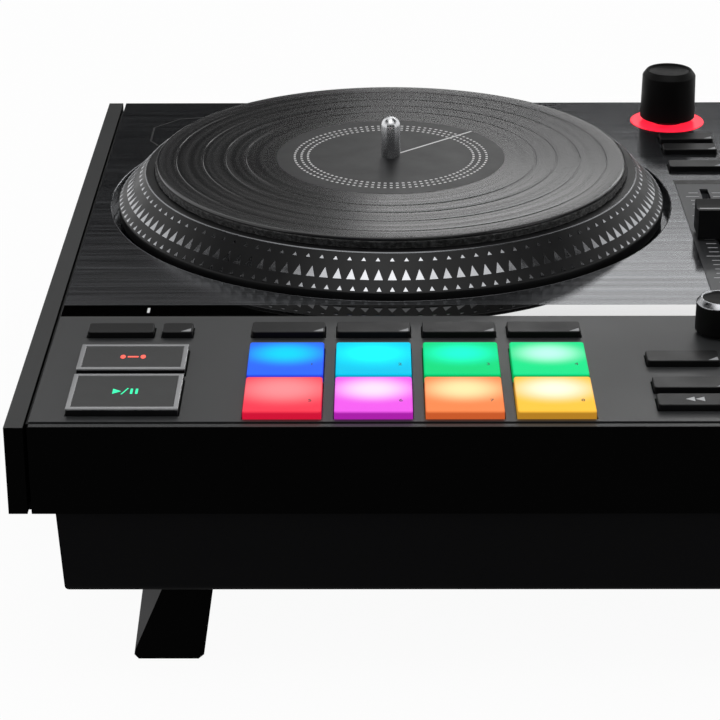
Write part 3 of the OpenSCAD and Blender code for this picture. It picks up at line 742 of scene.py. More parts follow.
class CaseSettings(bpy.types.PropertyGroup):
    """Sizes of the case's finish."""

    panel_edge: FloatProperty(name="Panel edge", description="Broken edge of the panels and cheeks",
                              default=0.5 * MM, min=0.1 * MM, max=1.0 * MM, unit="LENGTH")
    plate_edge: FloatProperty(name="Plate edge", description="Broken edge of the top plates",
                              default=0.15 * MM, min=0.05 * MM, max=0.5 * MM, unit="LENGTH")
    tray_edge: FloatProperty(name="Tray edge", description="Broken edge of the tray",
                             default=0.6 * MM, min=0.1 * MM, max=1.5 * MM, unit="LENGTH")
    leg_edge: FloatProperty(name="Leg edge", description="Broken edge of a leg",
                            default=0.5 * MM, min=0.1 * MM, max=1.0 * MM, unit="LENGTH")


class DeckSettings(bpy.types.PropertyGroup):
    """Sizes of the platters and what lies on them."""

    facets_top: IntProperty(name="Top facets", description="Facets in the upper row",
                            default=121, min=60, max=200)
    facets_middle: IntProperty(name="Middle facets", description="Facets in the middle row",
                               default=131, min=60, max=200)
    facets_low: IntProperty(name="Low facets", description="Facets in the lower row",
                            default=141, min=60, max=200)
    facet_height: FloatProperty(name="Facet height", description="How far a facet stands out",
                                default=0.18 * MM, min=0.1 * MM, max=0.8 * MM, unit="LENGTH")
    felt_fuzz: FloatProperty(name="Felt fuzz", description="Unevenness of the slipmat's edge",
                             default=0.35 * MM, min=0.0 * MM, max=1.0 * MM, unit="LENGTH")
    label_radius: FloatProperty(name="Label radius", description="Radius of the record's label",
                                default=42.6 * MM, min=30.0 * MM, max=50.0 * MM, unit="LENGTH")
    label_dashes: IntProperty(name="Label dashes", description="Dashes in each ring on the label",
                              default=90, min=30, max=180)


def pad_colour(n, text):
    return FloatVectorProperty(name=f"Pad {n}", description=f"Colour of pad {n} away from its lamp",
                               subtype="COLOR", default=linear(text), min=0.0, max=1.0)


class PadSettings(bpy.types.PropertyGroup):
    """Colours and sizes of the lit pads, and the colour of the light rings."""

    pad_1: pad_colour(1, "#2c66f6")
    pad_2: pad_colour(2, "#00c4ea")
    pad_3: pad_colour(3, "#00d67c")
    pad_4: pad_colour(4, "#10e088")
    pad_5: pad_colour(5, "#f43a50")
    pad_6: pad_colour(6, "#ec5ae8")
    pad_7: pad_colour(7, "#f4874e")
    pad_8: pad_colour(8, "#ffc440")
    pad_corner: FloatProperty(name="Pad corner", description="Corner radius of a pad",
                              default=0.9 * MM, min=0.3 * MM, max=3.0 * MM, unit="LENGTH")
    pad_edge: FloatProperty(name="Pad edge", description="Rounding of a pad's top edge",
                            default=0.55 * MM, min=0.2 * MM, max=1.2 * MM, unit="LENGTH")
    glow: FloatProperty(name="Glow", description="Strength of the light in the pads",
                        default=1.0, min=0.0, max=4.0)
    ring_red: FloatVectorProperty(name="Ring red", description="Colour of the browse knobs' light rings",
                                  subtype="COLOR", default=linear("#ff1230"), min=0.0, max=1.0)


class StageSettings(bpy.types.PropertyGroup):
    """Light and camera."""

    lens: FloatProperty(name="Lens", description="Focal length of the camera",
                        default=122.5, min=35.0, max=300.0, unit="CAMERA")
    fill: FloatProperty(name="Fill", description="Strength of the soft light from all round",
                        default=0.6, min=0.0, max=2.0)
    softbox: FloatProperty(name="Softbox", description="Power of the softbox behind the right",
                           default=0.95, min=0.0, max=100.0, unit="POWER")
    key: FloatProperty(name="Key", description="Power of the overhead lamp",
                       default=9.0, min=0.0, max=100.0, unit="POWER")


# Case

class BuildCase(bpy.types.Operator):
    """Builds the tray, panels, cheeks, plates and guide strip."""

    bl_idname = "controller.case"
    bl_label = "Case"

    def execute(self, context):
        sizes = context.scene.controller_case
        abs_black = stock(matt_black_abs)
        rail = stock(satin_anodised_aluminium)
        parts = (
            ("base_tray", "lower_tray", sizes.tray_edge, stock(textured_tray_abs),
             "tray_abs"),
            ("side_cheeks", "cheek_rails", sizes.panel_edge, rail, "cheek_plastic"),
            ("front_panel", "front_fascia", sizes.panel_edge, abs_black, "panel_plastic"),
            ("rear_panel", "rear_fascia", sizes.panel_edge, abs_black, "panel_plastic"),
            ("deck_plate", "brushed_deck_sheet", sizes.plate_edge,
             stock(brushed_black_aluminium), "plate_aluminium"),
            ("pad_plate", "satin_pad_sheet", sizes.plate_edge,
             stock(powder_coated_steel), "pad_plate_coat"),
            ("guide_strip", "gloss_strip", sizes.plate_edge,
             stock(cast_black_acrylic), "gloss_black"),
        )
        for node, name, edge, material, slot in parts:
            made = finish(from_cad(node, name, edge), material, "case", [node])
            if node == "side_cheeks":
                # The cheek is one piece: faces that point up keep the grey rail finish and the rest get the
                # black fascia ABS, a painted shade on its sides and front.
                made.data.materials.append(abs_black)
                for face in made.data.polygons:
                    face.material_index = 0 if face.normal.z > 0.3 else 1
        self.lip()
        for side, _ in DECKS:
            self.well_edge(side)
        return {"FINISHED"}

    def well_edge(self, side):
        """The thin bright edge where a platter's well is cut through the sheet."""
        low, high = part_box(f"platter_{side}")
        r = (high.x - low.x) / 2 / MM + 3.1
        ring = turned(f"well_edge_{side}", middle(f"platter_{side}"),
                      [(r - 0.25, -1.6), (r + 0.05, -1.6), (r + 0.05, -0.1), (r - 0.05, 0.0),
                       (r - 0.25, -0.12)], 192, ring=True)
        finish(ring, stock(polished_bead), "case",
               angle=50)

    def lip(self):
        """A thin bright strip along the front fascia's top edge, in the shinier rail finish: a painted
        highlight on that edge.
        """
        low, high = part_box("front_panel")
        rail = block("fascia_lip", (low.x + 0.4 * MM, low.y + 0.5 * MM, high.z - 0.2 * MM),
                     (high.x - 0.4 * MM, low.y + 2.6 * MM, high.z + 0.03 * MM))
        with shaping(rail):
            pick(rail, "edges", at_height(high.z + 0.03 * MM))
            bpy.ops.mesh.bevel(offset=0.02 * MM, segments=2)
        finish(rail, stock(satin_anodised_aluminium), "case")


class BuildLegs(bpy.types.Operator):
    """Builds the four folding legs, with the facet cut across each outer corner."""

    bl_idname = "controller.legs"
    bl_label = "Legs"

    def execute(self, context):
        edge = context.scene.controller_case.leg_edge
        material = stock(matt_black_abs)
        for front in ("front", "back"):
            for side in ("left", "right"):
                node = f"leg_{front}_{side}"
                leg = from_cad(node, f"moulded_{node}", 0)
                normal = self.facet(leg, node, front == "front", side == "left")
                break_edges(leg, edge, 25)
                finish(leg, material, node, [node])
                # The corner facet gets a dark grey copy of the leg's black ABS: painted light on the face
                # that catches the lamps above.
                leg.data.materials.append(stock(satin_facet))
                for face in leg.data.polygons:
                    face.material_index = 1 if face.normal.dot(normal) > 0.995 else 0
        return {"FINISHED"}

    def facet(self, leg, node, front, left):
        """Bisects the outer front corner: widest under the tray and nothing at the foot."""
        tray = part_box("base_tray")[0].z
        shown = [v.co for v in leg.data.vertices if v.co.z < tray - MM]
        out, ahead = (-1 if left else 1), (-1 if front else 1)
        edge = max(out * point.x for point in shown) * out
        face = max(ahead * point.y for point in shown) * ahead
        splay, wide, deep = 5.2 * MM, 7.9 * MM, 6.0 * MM
        foot = Vector((edge, face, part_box(node)[0].z + 2.5 * MM))
        along = Vector((edge - out * (splay + wide), face, tray))
        across = Vector((edge - out * splay, face - ahead * deep, tray))
        normal = (along - foot).cross(across - foot).normalized()
        if normal.dot(Vector((out, ahead, 0))) < 0:
            normal = -normal
        with shaping(leg):
            bpy.ops.mesh.select_all(action="SELECT")
            bpy.ops.mesh.bisect(plane_co=foot, plane_no=normal, use_fill=True, clear_outer=True)
        return normal


# Decks

class BuildPlatters(bpy.types.Operator):
    """Builds the platters and the three rows of foil facets round their rims."""

    bl_idname = "controller.platters"
    bl_label = "Platters"

    def execute(self, context):
        sizes = context.scene.controller_deck
        abs_satin = stock(moulded_platter_abs)
        foil = stock(hot_foil_silver)
        platter = self.bowl("platter_left")
        facets = self.rim_facets(sizes)
        for side, by in DECKS:
            shift = Vector((by, 0, 0))
            body = f"platter_{side}"
            ring = copy_of(facets, f"rim_facets_{side}", shift)
            whole = copy_of(platter, f"moulded_platter_{side}", shift)
            finish(whole, abs_satin, body, [body], 25)
            finish(ring, foil, body, angle=20)
            self.bead(side, body)
        for spare in (platter, facets):
            bpy.data.objects.remove(spare)
        return {"FINISHED"}

    def bowl(self, node):
        """The platter itself, turned: a sloping rim, a shoulder and a flat that is set down a little."""
        centre = middle(node)
        low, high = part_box(node)
        wide = (high.x - low.x) / 2 / MM
        rise = (high.z - TOP) / MM
        self.low, self.top = (wide, 1.5), (wide - 10.5, rise)
        outline = [(26, -3.4), (wide - 1.2, -3.4), (wide - 0.2, -2.6), (wide, -0.6), (wide, 1.2),
                   (wide - 0.25, 1.75), (wide - 10.1, rise - 0.45), (wide - 10.4, rise - 0.1),
                   (wide - 10.9, rise), (wide - 13.6, rise), (wide - 13.8, rise - 0.25),
                   (26, rise - 0.25)]
        return turned("platter_blank", centre, outline, sides=256)

    def bead(self, side, body):
        """The bead where the rim meets the platter's shoulder, in bright metal: a painted highlight along
        the moulded platter's edge.
        """
        r, z = self.top
        ring = turned(f"shoulder_bead_{side}", middle(f"platter_{side}"),
                      [(r - 0.1, z - 0.5), (r + 0.28, z - 0.42), (r + 0.32, z - 0.2), (r + 0.1, z - 0.02),
                       (r - 0.15, z + 0.03), (r - 0.3, z - 0.1)], 256, ring=True)
        finish(ring, stock(polished_bead), body,
               angle=50)

    def rim_facets(self, sizes):
        """Three rows of triangles, each modelled once and copied round the rim.
        A row is the shares of the slope where it starts and ends, its width in mm and its count."""
        centre = middle("platter_left")
        rows = ((0.10, 0.235, 1.75, sizes.facets_top), (0.385, 0.69, 3.2, sizes.facets_middle),
                (0.81, 0.965, 1.85, sizes.facets_low))
        made = []
        for near, far, width, count in rows:
            made.append(wheel_of(self.facet(centre, near, far, width, sizes.facet_height / MM),
                                 centre, count))
        return joined(made, "facet_blank")

    def facet(self, centre, near, far, width, height):
        """One raised triangle on the front of the rim, its point towards the record."""
        top, low = self.top, self.low
        run = Vector((low[0] - top[0], low[1] - top[1]))
        out = Vector((-run.y, run.x)).normalized()

        def on_rim(share, sideways, lift):
            r = top[0] + run.x * share + out.x * lift
            z = top[1] + run.y * share + out.y * lift
            return Vector((centre.x + sideways * MM, centre.y - r * MM, TOP + z * MM))

        bpy.ops.mesh.primitive_cone_add(vertices=3, radius1=0.002, radius2=0.001, depth=0.001)
        obj = added("facet")
        sunk, inset = -0.15, 0.08
        base = [on_rim(near, 0, sunk), on_rim(far, -width / 2, sunk), on_rim(far, width / 2, sunk)]
        lid = [on_rim(near + 0.035, 0, height * 0.6), on_rim(far - 0.012, inset - width / 2, height),
               on_rim(far - 0.012, width / 2 - inset, height)]
        lower = sorted(obj.data.vertices, key=lambda v: v.co.z)[:3]
        angles = sorted(lower, key=lambda v: math.atan2(v.co.y, v.co.x))
        for vert, place in zip(angles, base):
            pair = min((v for v in obj.data.vertices if v not in lower),
                       key=lambda v: (v.co.xy.normalized() - vert.co.xy.normalized()).length)
            pair.co = lid[base.index(place)]
        for vert, place in zip(angles, base):
            vert.co = place
        with shaping(obj):
            bpy.ops.mesh.select_all(action="SELECT")
            bpy.ops.mesh.normals_make_consistent(inside=False)
        return obj


class BuildSlipmats(bpy.types.Operator):
    """Builds the felt slipmats with their uneven cut edge."""

    bl_idname = "controller.slipmats"
    bl_label = "Slipmats"

    def execute(self, context):
        fuzz = context.scene.controller_deck.felt_fuzz
        felt = stock(wool_felt)
        for side, _ in DECKS:
            node = f"slipmat_{side}"
            low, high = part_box(node)
            wide = (high.x - low.x) / 2 / MM
            bottom, top = (low.z - TOP) / MM, (high.z - TOP) / MM
            heights = [bottom + (top - bottom) * k / 6 for k in range(7)]
            outline = [(4, bottom), (wide - 0.8, bottom)] + [(wide - 0.2, z) for z in heights]
            outline += [(wide - 0.8, top), (4, top)]
            mat = turned(f"felt_{node}", middle(node), outline, sides=720)
            draw = random.Random(7)
            centre = middle(node)
            for vert in mat.data.vertices:
                arm = Vector((vert.co.x - centre.x, vert.co.y - centre.y, 0))
                if arm.length > (wide - 0.5) * MM:
                    vert.co += arm.normalized() * draw.uniform(-fuzz, fuzz)
            finish(mat, felt, f"record_{side}", [node], 80)
        return {"FINISHED"}


class BuildRecords(bpy.types.Operator):
    """Builds the records: bead, grooved bands, dead wax and label with its printed rings."""

    bl_idname = "controller.records"
    bl_label = "Records"

    def execute(self, context):
        sizes = context.scene.controller_deck
        for side, _ in DECKS:
            node = f"record_{side}"
            centre = middle(node)
            low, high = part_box(node)
            wide = (high.x - low.x) / 2 / MM
            bottom, top = (low.z - TOP) / MM, (high.z - TOP) / MM
            vinyl = stock(pressed_vinyl, (centre.x, centre.y, 0), name=f"pressed_vinyl_{side}")
            section = self.profile(wide, bottom, top, sizes.label_radius / MM)
            disc = turned(f"pressed_{node}", centre, section, sides=256)
            finish(disc, vinyl, node, [node], 30)
            self.label(side, node, centre, top, sizes)
        return {"FINISHED"}

    def profile(self, wide, bottom, top, label):
        """Section of the record: rounded bead, then bands of groove between track gaps."""
        outline = [(5, bottom), (wide - 0.7, bottom), (wide - 0.15, bottom + 0.3), (wide, bottom + 0.65),
                   (wide - 0.1, top - 0.25), (wide - 0.5, top - 0.02), (wide - 1.2, top),
                   (wide - 1.9, top - 0.12)]
        gaps = [label + (wide - label) * share for share in (0.84, 0.62, 0.43, 0.26)]
        for gap in gaps:
            outline += [(gap + 0.4, top - 0.12), (gap + 0.2, top - 0.28), (gap - 0.2, top - 0.28),
                        (gap - 0.4, top - 0.12)]
        outline += [(label + 1.2, top - 0.14), (label + 0.5, top - 0.05), (4.2, top - 0.05)]
        return outline

    def label(self, side, node, centre, top, sizes):
        """The paper label, three rings of printed dashes and one printed line."""
        radius = sizes.label_radius / MM
        paper = turned(f"paper_label_{side}", centre,
                       [(4.2, top - 0.06), (radius, top - 0.06), (radius, top - 0.01),
                        (radius - 0.2, top + 0.01), (4.2, top + 0.01)], sides=128)
        finish(paper, stock(coated_label_paper), node)
        low, high = TOP + (top + 0.005) * MM, TOP + (top + 0.05) * MM
        prints = []
        for k, ring in enumerate((31.0, 33.4, 35.9)):
            dash = slab("dash", [(centre.x + x * MM, centre.y + (y - ring) * MM)
                                 for x, y in ((-0.55, -0.4), (0.55, -0.4), (0.45, 0.4), (-0.45, 0.4))],
                        low, high)
            prints.append(wheel_of(dash, centre, sizes.label_dashes + 4 * k))
        turn = math.radians(43)
        way = Vector((math.cos(turn), math.sin(turn)))
        ends = [(centre.x + way.x * r * MM, centre.y + way.y * r * MM) for r in (4.6, radius)]
        prints.append(stroke("radial_line", ends[0], ends[1], 0.8 * MM, low, high))
        ink = stock(white_ink)
        finish(joined(prints, f"label_print_{side}"), ink, node)


class BuildSpindles(bpy.types.Operator):
    """Builds the chrome spindles with their domed tops."""

    bl_idname = "controller.spindles"
    bl_label = "Spindles"

    def execute(self, context):
        chrome = stock(chrome_plate)
        for side, _ in DECKS:
            node = f"spindle_{side}"
            top = (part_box(node)[1].z - TOP) / MM
            bottom = (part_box(f"platter_{side}")[1].z - TOP) / MM
            r = SPINDLE_RADIUS
            dome = [(r * math.cos(t), top - r + r * math.sin(t))
                    for t in (math.radians(9 * k) for k in range(1, 10))]
            outline = [(r - 0.4, bottom), (r - 0.4, bottom + 2.6), (r, bottom + 3.0), (r, top - r)] + dome
            pin = turned(f"chrome_{node}", middle(node), outline[:-1] + [(0.2, top - 0.01)], sides=96)
            finish(pin, chrome, f"platter_{side}", [node], 60)
        return {"FINISHED"}


# Pads and keys

PAD_LIGHTS = (
    # colour over the lamp, colour of the front edge, how far the glow spreads
    ("#00d2ff", "#2a30c8", 1.0), ("#0cfbff", "#0090b8", 1.15),
    ("#10ffd0", "#009c50", 1.0), ("#b8ffe6", "#009c50", 0.9),
    ("#ff8e92", "#cc1234", 1.25), ("#ffdcff", "#a61ea6", 1.0),
    ("#ffe6a8", "#c4582a", 1.05), ("#fffade", "#b07c22", 1.05),
)


class BuildPads(bpy.types.Operator):
    """Builds the lit pads of both decks and their plain numbers."""

    bl_idname = "controller.pads"
    bl_label = "Pads"

    def execute(self, context):
        sizes = context.scene.controller_pads
        grid = [solids(f"pad_{n}", TOP + 0.1 * MM)[0] for n in range(1, 9)]
        for n, (low, high) in enumerate(grid, 1):
            self.pad(sizes, f"silicone_pad_{n}", n, low, high, f"pad_{n}", [f"pad_{n}"])
        shift = Vector((DECK_PITCH, 0, 0))
        for n, (low, high) in enumerate(grid, 1):
            self.pad(sizes, f"silicone_pad_right_{n}", n, low + shift, high + shift, "pad_mat_right",
                     ["pad_mat_right"])
        return {"FINISHED"}

    def pad(self, sizes, name, n, low, high, body, stands_for):
        low = Vector((low.x, low.y, TOP - 1.2 * MM))
        key = cap(name, low, high, sizes.pad_corner, sizes.pad_edge)
        half = (high - low) / 2
        lamp = Vector(((low.x + high.x) / 2, low.y + half.y * 1.28, TOP + 1.0 * MM))
        body_tone = (*getattr(sizes, f"pad_{n}"), 1.0)
        glow, edge, spread = PAD_LIGHTS[n - 1]
        reach = Vector((half.x, half.y, 1.5 * MM))
        silicone = stock(lit_silicone, lamp, reach, body_tone, paint(glow), paint(edge), sizes.glow,
                         spread, name=f"lit_{name}")
        finish(key, silicone, body, stands_for)
        place = Vector((low.x + 20.3 * MM, low.y + 8.0 * MM, high.z + 0.01 * MM))
        mark = numeral(f"{name}_number", str(n), place, 2.6)
        finish(mark, stock(dark_ink), body)


class BuildKeys(bpy.types.Operator):
    """Builds the small keys, and the framed play and cue keys with their signs."""

    bl_idname = "controller.keys"
    bl_label = "Keys"

    def execute(self, context):
        for node in ("row_keys_left", "side_keys_left", "browse_keys_left", "small_keys_right",
                     "mixer_keys"):
            self.small_keys(node)
        for node, sign in (("play_key_left", self.play_sign), ("cue_key_left", self.cue_sign)):
            self.framed_key(f"{node}_cover", solids(node, TOP + 0.1 * MM)[0], node, sign)
        pair = solids("transport_keys_right", TOP + 0.1 * MM)
        for (name, sign), box in zip((("play_right", self.play_sign), ("cue_right", self.cue_sign)), pair):
            self.framed_key(f"{name}_cover", box, "transport_keys_right", sign)
        return {"FINISHED"}

    def small_keys(self, node):
        black = stock(moulded_key_pc)
        grey = stock(grey_ink)
        for n, (low, high) in enumerate(solids(node, TOP + 0.1 * MM), 1):
            low = Vector((low.x, low.y, TOP - 1.0 * MM))
            key = cap(f"{node}_{n}", low, high, 1.2 * MM, 0.35 * MM, 3)
            finish(key, black, node, [node])
            if node == "side_keys_left" and n < 3:
                self.skip_sign(f"skip_sign_{n}", (low + high) / 2, high.z, -1 if n == 1 else 1, node)
                continue
            if node == "row_keys_left" and n == 1:
                continue
            right, front = high.x - 0.6 * MM, low.y + 0.6 * MM
            wedge = [(right - 3.2 * MM, front), (right, front), (right, front + 2.6 * MM)]
            mark = slab(f"{node}_{n}_wedge", wedge, high.z - 0.01 * MM, high.z + 0.02 * MM)
            finish(mark, grey, node)

    def skip_sign(self, name, mid, top, way, node):
        """Two small arrowheads side by side, pointing way."""
        heads = [slab("head", [(mid.x + way * (x + 1.4) * MM, mid.y), (mid.x + way * (x - 1.4) * MM,
                                                                   mid.y + 1.6 * MM),
                               (mid.x + way * (x - 1.4) * MM, mid.y - 1.6 * MM)],
                      top - 0.01 * MM, top + 0.02 * MM) for x in (-1.5, 1.5)]
        finish(joined(heads, name), stock(pale_ink), node)

    def framed_key(self, name, box, body, sign):
        """A dark film under a clear cover whose frame stands a little proud."""
        low, high = Vector((box[0].x, box[0].y, TOP - 1.0 * MM)), box[1]
        skirt = cap(f"{name}_skirt", low, (high.x, high.y, high.z - 0.55 * MM), 0.4 * MM, 0.12 * MM, 2)
        finish(skirt, stock(moulded_key_pc), body, [body])
        film = block(f"{name}_film", (low.x + 1.5 * MM, low.y + 1.5 * MM, high.z - 0.6 * MM),
                     (high.x - 1.5 * MM, high.y - 1.5 * MM, high.z - 0.22 * MM))
        with shaping(film):
            pick(film, "edges", at_height(high.z - 0.22 * MM))
            bpy.ops.mesh.bevel(offset=0.1 * MM, segments=2)
        finish(film, stock(key_core), body)
        rim = block(f"{name}_frame", (low.x, low.y, high.z - 0.55 * MM), high)
        with shaping(rim):
            pick(rim, "faces", lambda f: f.normal.z > 0.9)
            bpy.ops.mesh.inset(thickness=1.45 * MM)
            bpy.ops.mesh.extrude_region_move(TRANSFORM_OT_translate={"value": (0, 0, -0.4 * MM)})
            pick(rim, "edges", at_height(high.z))
            bpy.ops.mesh.bevel(offset=0.16 * MM, segments=2)
            bpy.ops.mesh.select_all(action="SELECT")
            bpy.ops.mesh.normals_make_consistent(inside=False)
        finish(rim, stock(clear_acrylic, name="clear_frame"), body)
        sign(f"{name}_sign", low, high, body)

    def play_sign(self, name, low, high, body):
        """A play triangle, a slash and pause bars."""
        mid = (low + high) / 2
        z = (high.z - 0.23 * MM, high.z - 0.17 * MM)

        def at(x, y):
            return mid.x + x * MM, mid.y + y * MM

        shapes = [
            slab("play_triangle", [at(-3.9, -1.9), at(-1.3, 0), at(-3.9, 1.9)], *z),
            stroke("slash", at(-1.1, -2.3), at(0.7, 2.3), 0.4 * MM, *z),
            stroke("bar", at(1.9, -1.9), at(1.9, 1.9), 0.75 * MM, *z),
            stroke("bar", at(3.5, -1.9), at(3.5, 1.9), 0.75 * MM, *z),
        ]
        green = stock(glowing_plastic, paint("#12c98a"), paint("#2df0ae"), 1.0, name="lit_green")
        finish(joined(shapes, name), green, body)

    def cue_sign(self, name, low, high, body):
        """A plain red bar with a dot at each side."""
        mid = (low + high) / 2
        z = (high.z - 0.23 * MM, high.z - 0.17 * MM)
        shapes = [stroke("bar", (mid.x - 1.7 * MM, mid.y), (mid.x + 1.7 * MM, mid.y), 1.0 * MM, *z)]
        for x in (-3.2, 3.2):
            ring = [(mid.x + (x + 0.85 * math.cos(t)) * MM, mid.y + 1.5 * math.sin(t) * MM)
                    for t in (math.radians(30 * k) for k in range(12))]
            shapes.append(slab("dot", ring, *z))
        red = stock(glowing_plastic, paint("#e0483c"), paint("#ff6a58"), 1.0, name="lit_red_sign")
        finish(joined(shapes, name), red, body)


# Faders, knobs and lamps

class BuildFaders(bpy.types.Operator):
    """Builds the fader caps, and the scales printed beside their slots."""

    bl_idname = "controller.faders"
    bl_label = "Faders"

    def execute(self, context):
        refinish("fader_plates", stock(printed_fader_plate))
        for node in ("tempo_fader_left", "tempo_fader_right", "channel_fader_1", "channel_fader_2"):
            self.fader_cap(node, False)
        self.fader_cap("crossfader", True)
        self.scales()
        return {"FINISHED"}

    def fader_cap(self, node, across):
        """A cap with a waisted grip, a pale line over its middle and a blade under it."""
        black = stock(moulded_key_pc)
        low, high = solids(node, TOP + 0.5 * MM)[0]
        low = Vector((low.x, low.y, TOP + 1.0 * MM))
        mid = (low + high) / 2
        axis = 0 if across else 1
        body = block(f"{node}_cap", low, high)
        waist, step = 3.4 * MM, 1.6 * MM
        with shaping(body):
            for cut in (-waist, -0.25 * MM, 0.25 * MM, waist):
                point, normal = mid.copy(), Vector((0, 0, 0))
                point[axis] += cut
                normal[axis] = 1
                bpy.ops.mesh.select_all(action="SELECT")
                bpy.ops.mesh.bisect(plane_co=point, plane_no=normal)
            pick(body, "verts", lambda v: v.co.z > mid.z and abs(v.co[axis] - mid[axis]) < 0.3 * MM)
            bpy.ops.transform.translate(value=(0, 0, -step))
            pick(body, "verts", lambda v: v.co.z > mid.z and
                 0.3 * MM < abs(v.co[axis] - mid[axis]) < waist + 0.1 * MM)
            bpy.ops.transform.translate(value=(0, 0, -0.9 * MM))
        break_edges(body, 0.35 * MM, 30)
        finish(body, black, node, [node])
        stem = self.stem(node, mid, across)
        finish(stem, black, node)
        line_low = Vector((low.x + 1.0 * MM, low.y + 1.0 * MM, high.z - step - 0.02 * MM))
        line_high = Vector((high.x - 1.0 * MM, high.y - 1.0 * MM, high.z - step + 0.04 * MM))
        line_low[axis], line_high[axis] = mid[axis] - 0.22 * MM, mid[axis] + 0.22 * MM
        line = block(f"{node}_line", line_low, line_high)
        with shaping(line):
            pick(line, "edges", at_height(line_high.z))
            bpy.ops.mesh.bevel(offset=0.01 * MM, segments=1)
        finish(line, stock(white_ink), node)

    def stem(self, node, mid, across):
        """The blade that joins the cap to the slide below its slot."""
        half = Vector((1.5, 1.25, 0)) * MM if across else Vector((1.25, 1.5, 0)) * MM
        blade = block(f"{node}_blade", (mid.x - half.x, mid.y - half.y, TOP - 4 * MM),
                      (mid.x + half.x, mid.y + half.y, TOP + 1.2 * MM))
        with shaping(blade):
            pick(blade, "edges", upright)
            bpy.ops.mesh.bevel(offset=0.2 * MM, segments=2)
        return blade

    def scales(self):
        """Tick lines on the inserts, and the dark bar over each tempo scale."""
        pale = stock(pale_ink)
        dark = stock(black_ink)
        boxes = sorted(solids("fader_plates"), key=lambda box: box[0].x)
        tempo = [box for box in boxes if box[1].y - box[0].y > 100 * MM]
        others = [box for box in boxes if box not in tempo]
        for side, (low, high) in zip(("left", "right"), tempo):
            lift = (high.z + 0.01 * MM, high.z + 0.05 * MM)
            marks = self.ticks((low + high) / 2, 1, 11, 4.16, (2.6, 6.2, 7.6), lift)
            finish(joined(marks, f"tempo_scale_{side}"), pale, "case")
            bar = slab(f"tempo_header_{side}",
                       [(low.x, high.y - 4.4 * MM), (high.x, high.y - 4.4 * MM), (high.x, high.y),
                        (low.x, high.y)], *lift)
            finish(bar, dark, "case")
        for n, (low, high) in enumerate(others, 1):
            lift = (high.z + 0.01 * MM, high.z + 0.05 * MM)
            if high.y - low.y > 40 * MM:
                marks = [mark for node in ("channel_fader_1", "channel_fader_2")
                         for mark in self.ticks(middle(node), 1, 5, 4.5, (8.2, 9.8, 11.0), lift)]
            else:
                marks = self.ticks(middle("crossfader"), 0, 5, 4.5, (8.2, 9.6, 10.6), lift)
            finish(joined(marks, f"mixer_scale_{n}"), pale, "case")

    def ticks(self, mid, along, count, pitch, reach, lift):
        """Ticks on both sides of a slot that runs along axis 0 or 1, count each way from its
        middle. Reach is where they start, and where short ones and every fifth end, in mm."""
        near, short, long = reach
        marks = []
        for k in range(-count, count + 1):
            far = long if k % 5 == 0 else short
            for way in (-1, 1):
                ends = []
                for out in (near, far):
                    end = [mid.x, mid.y]
                    end[along] += k * pitch * MM
                    end[1 - along] += way * out * MM
                    ends.append(end)
                marks.append(stroke("tick", *ends, 0.4 * MM, *lift))
        return marks


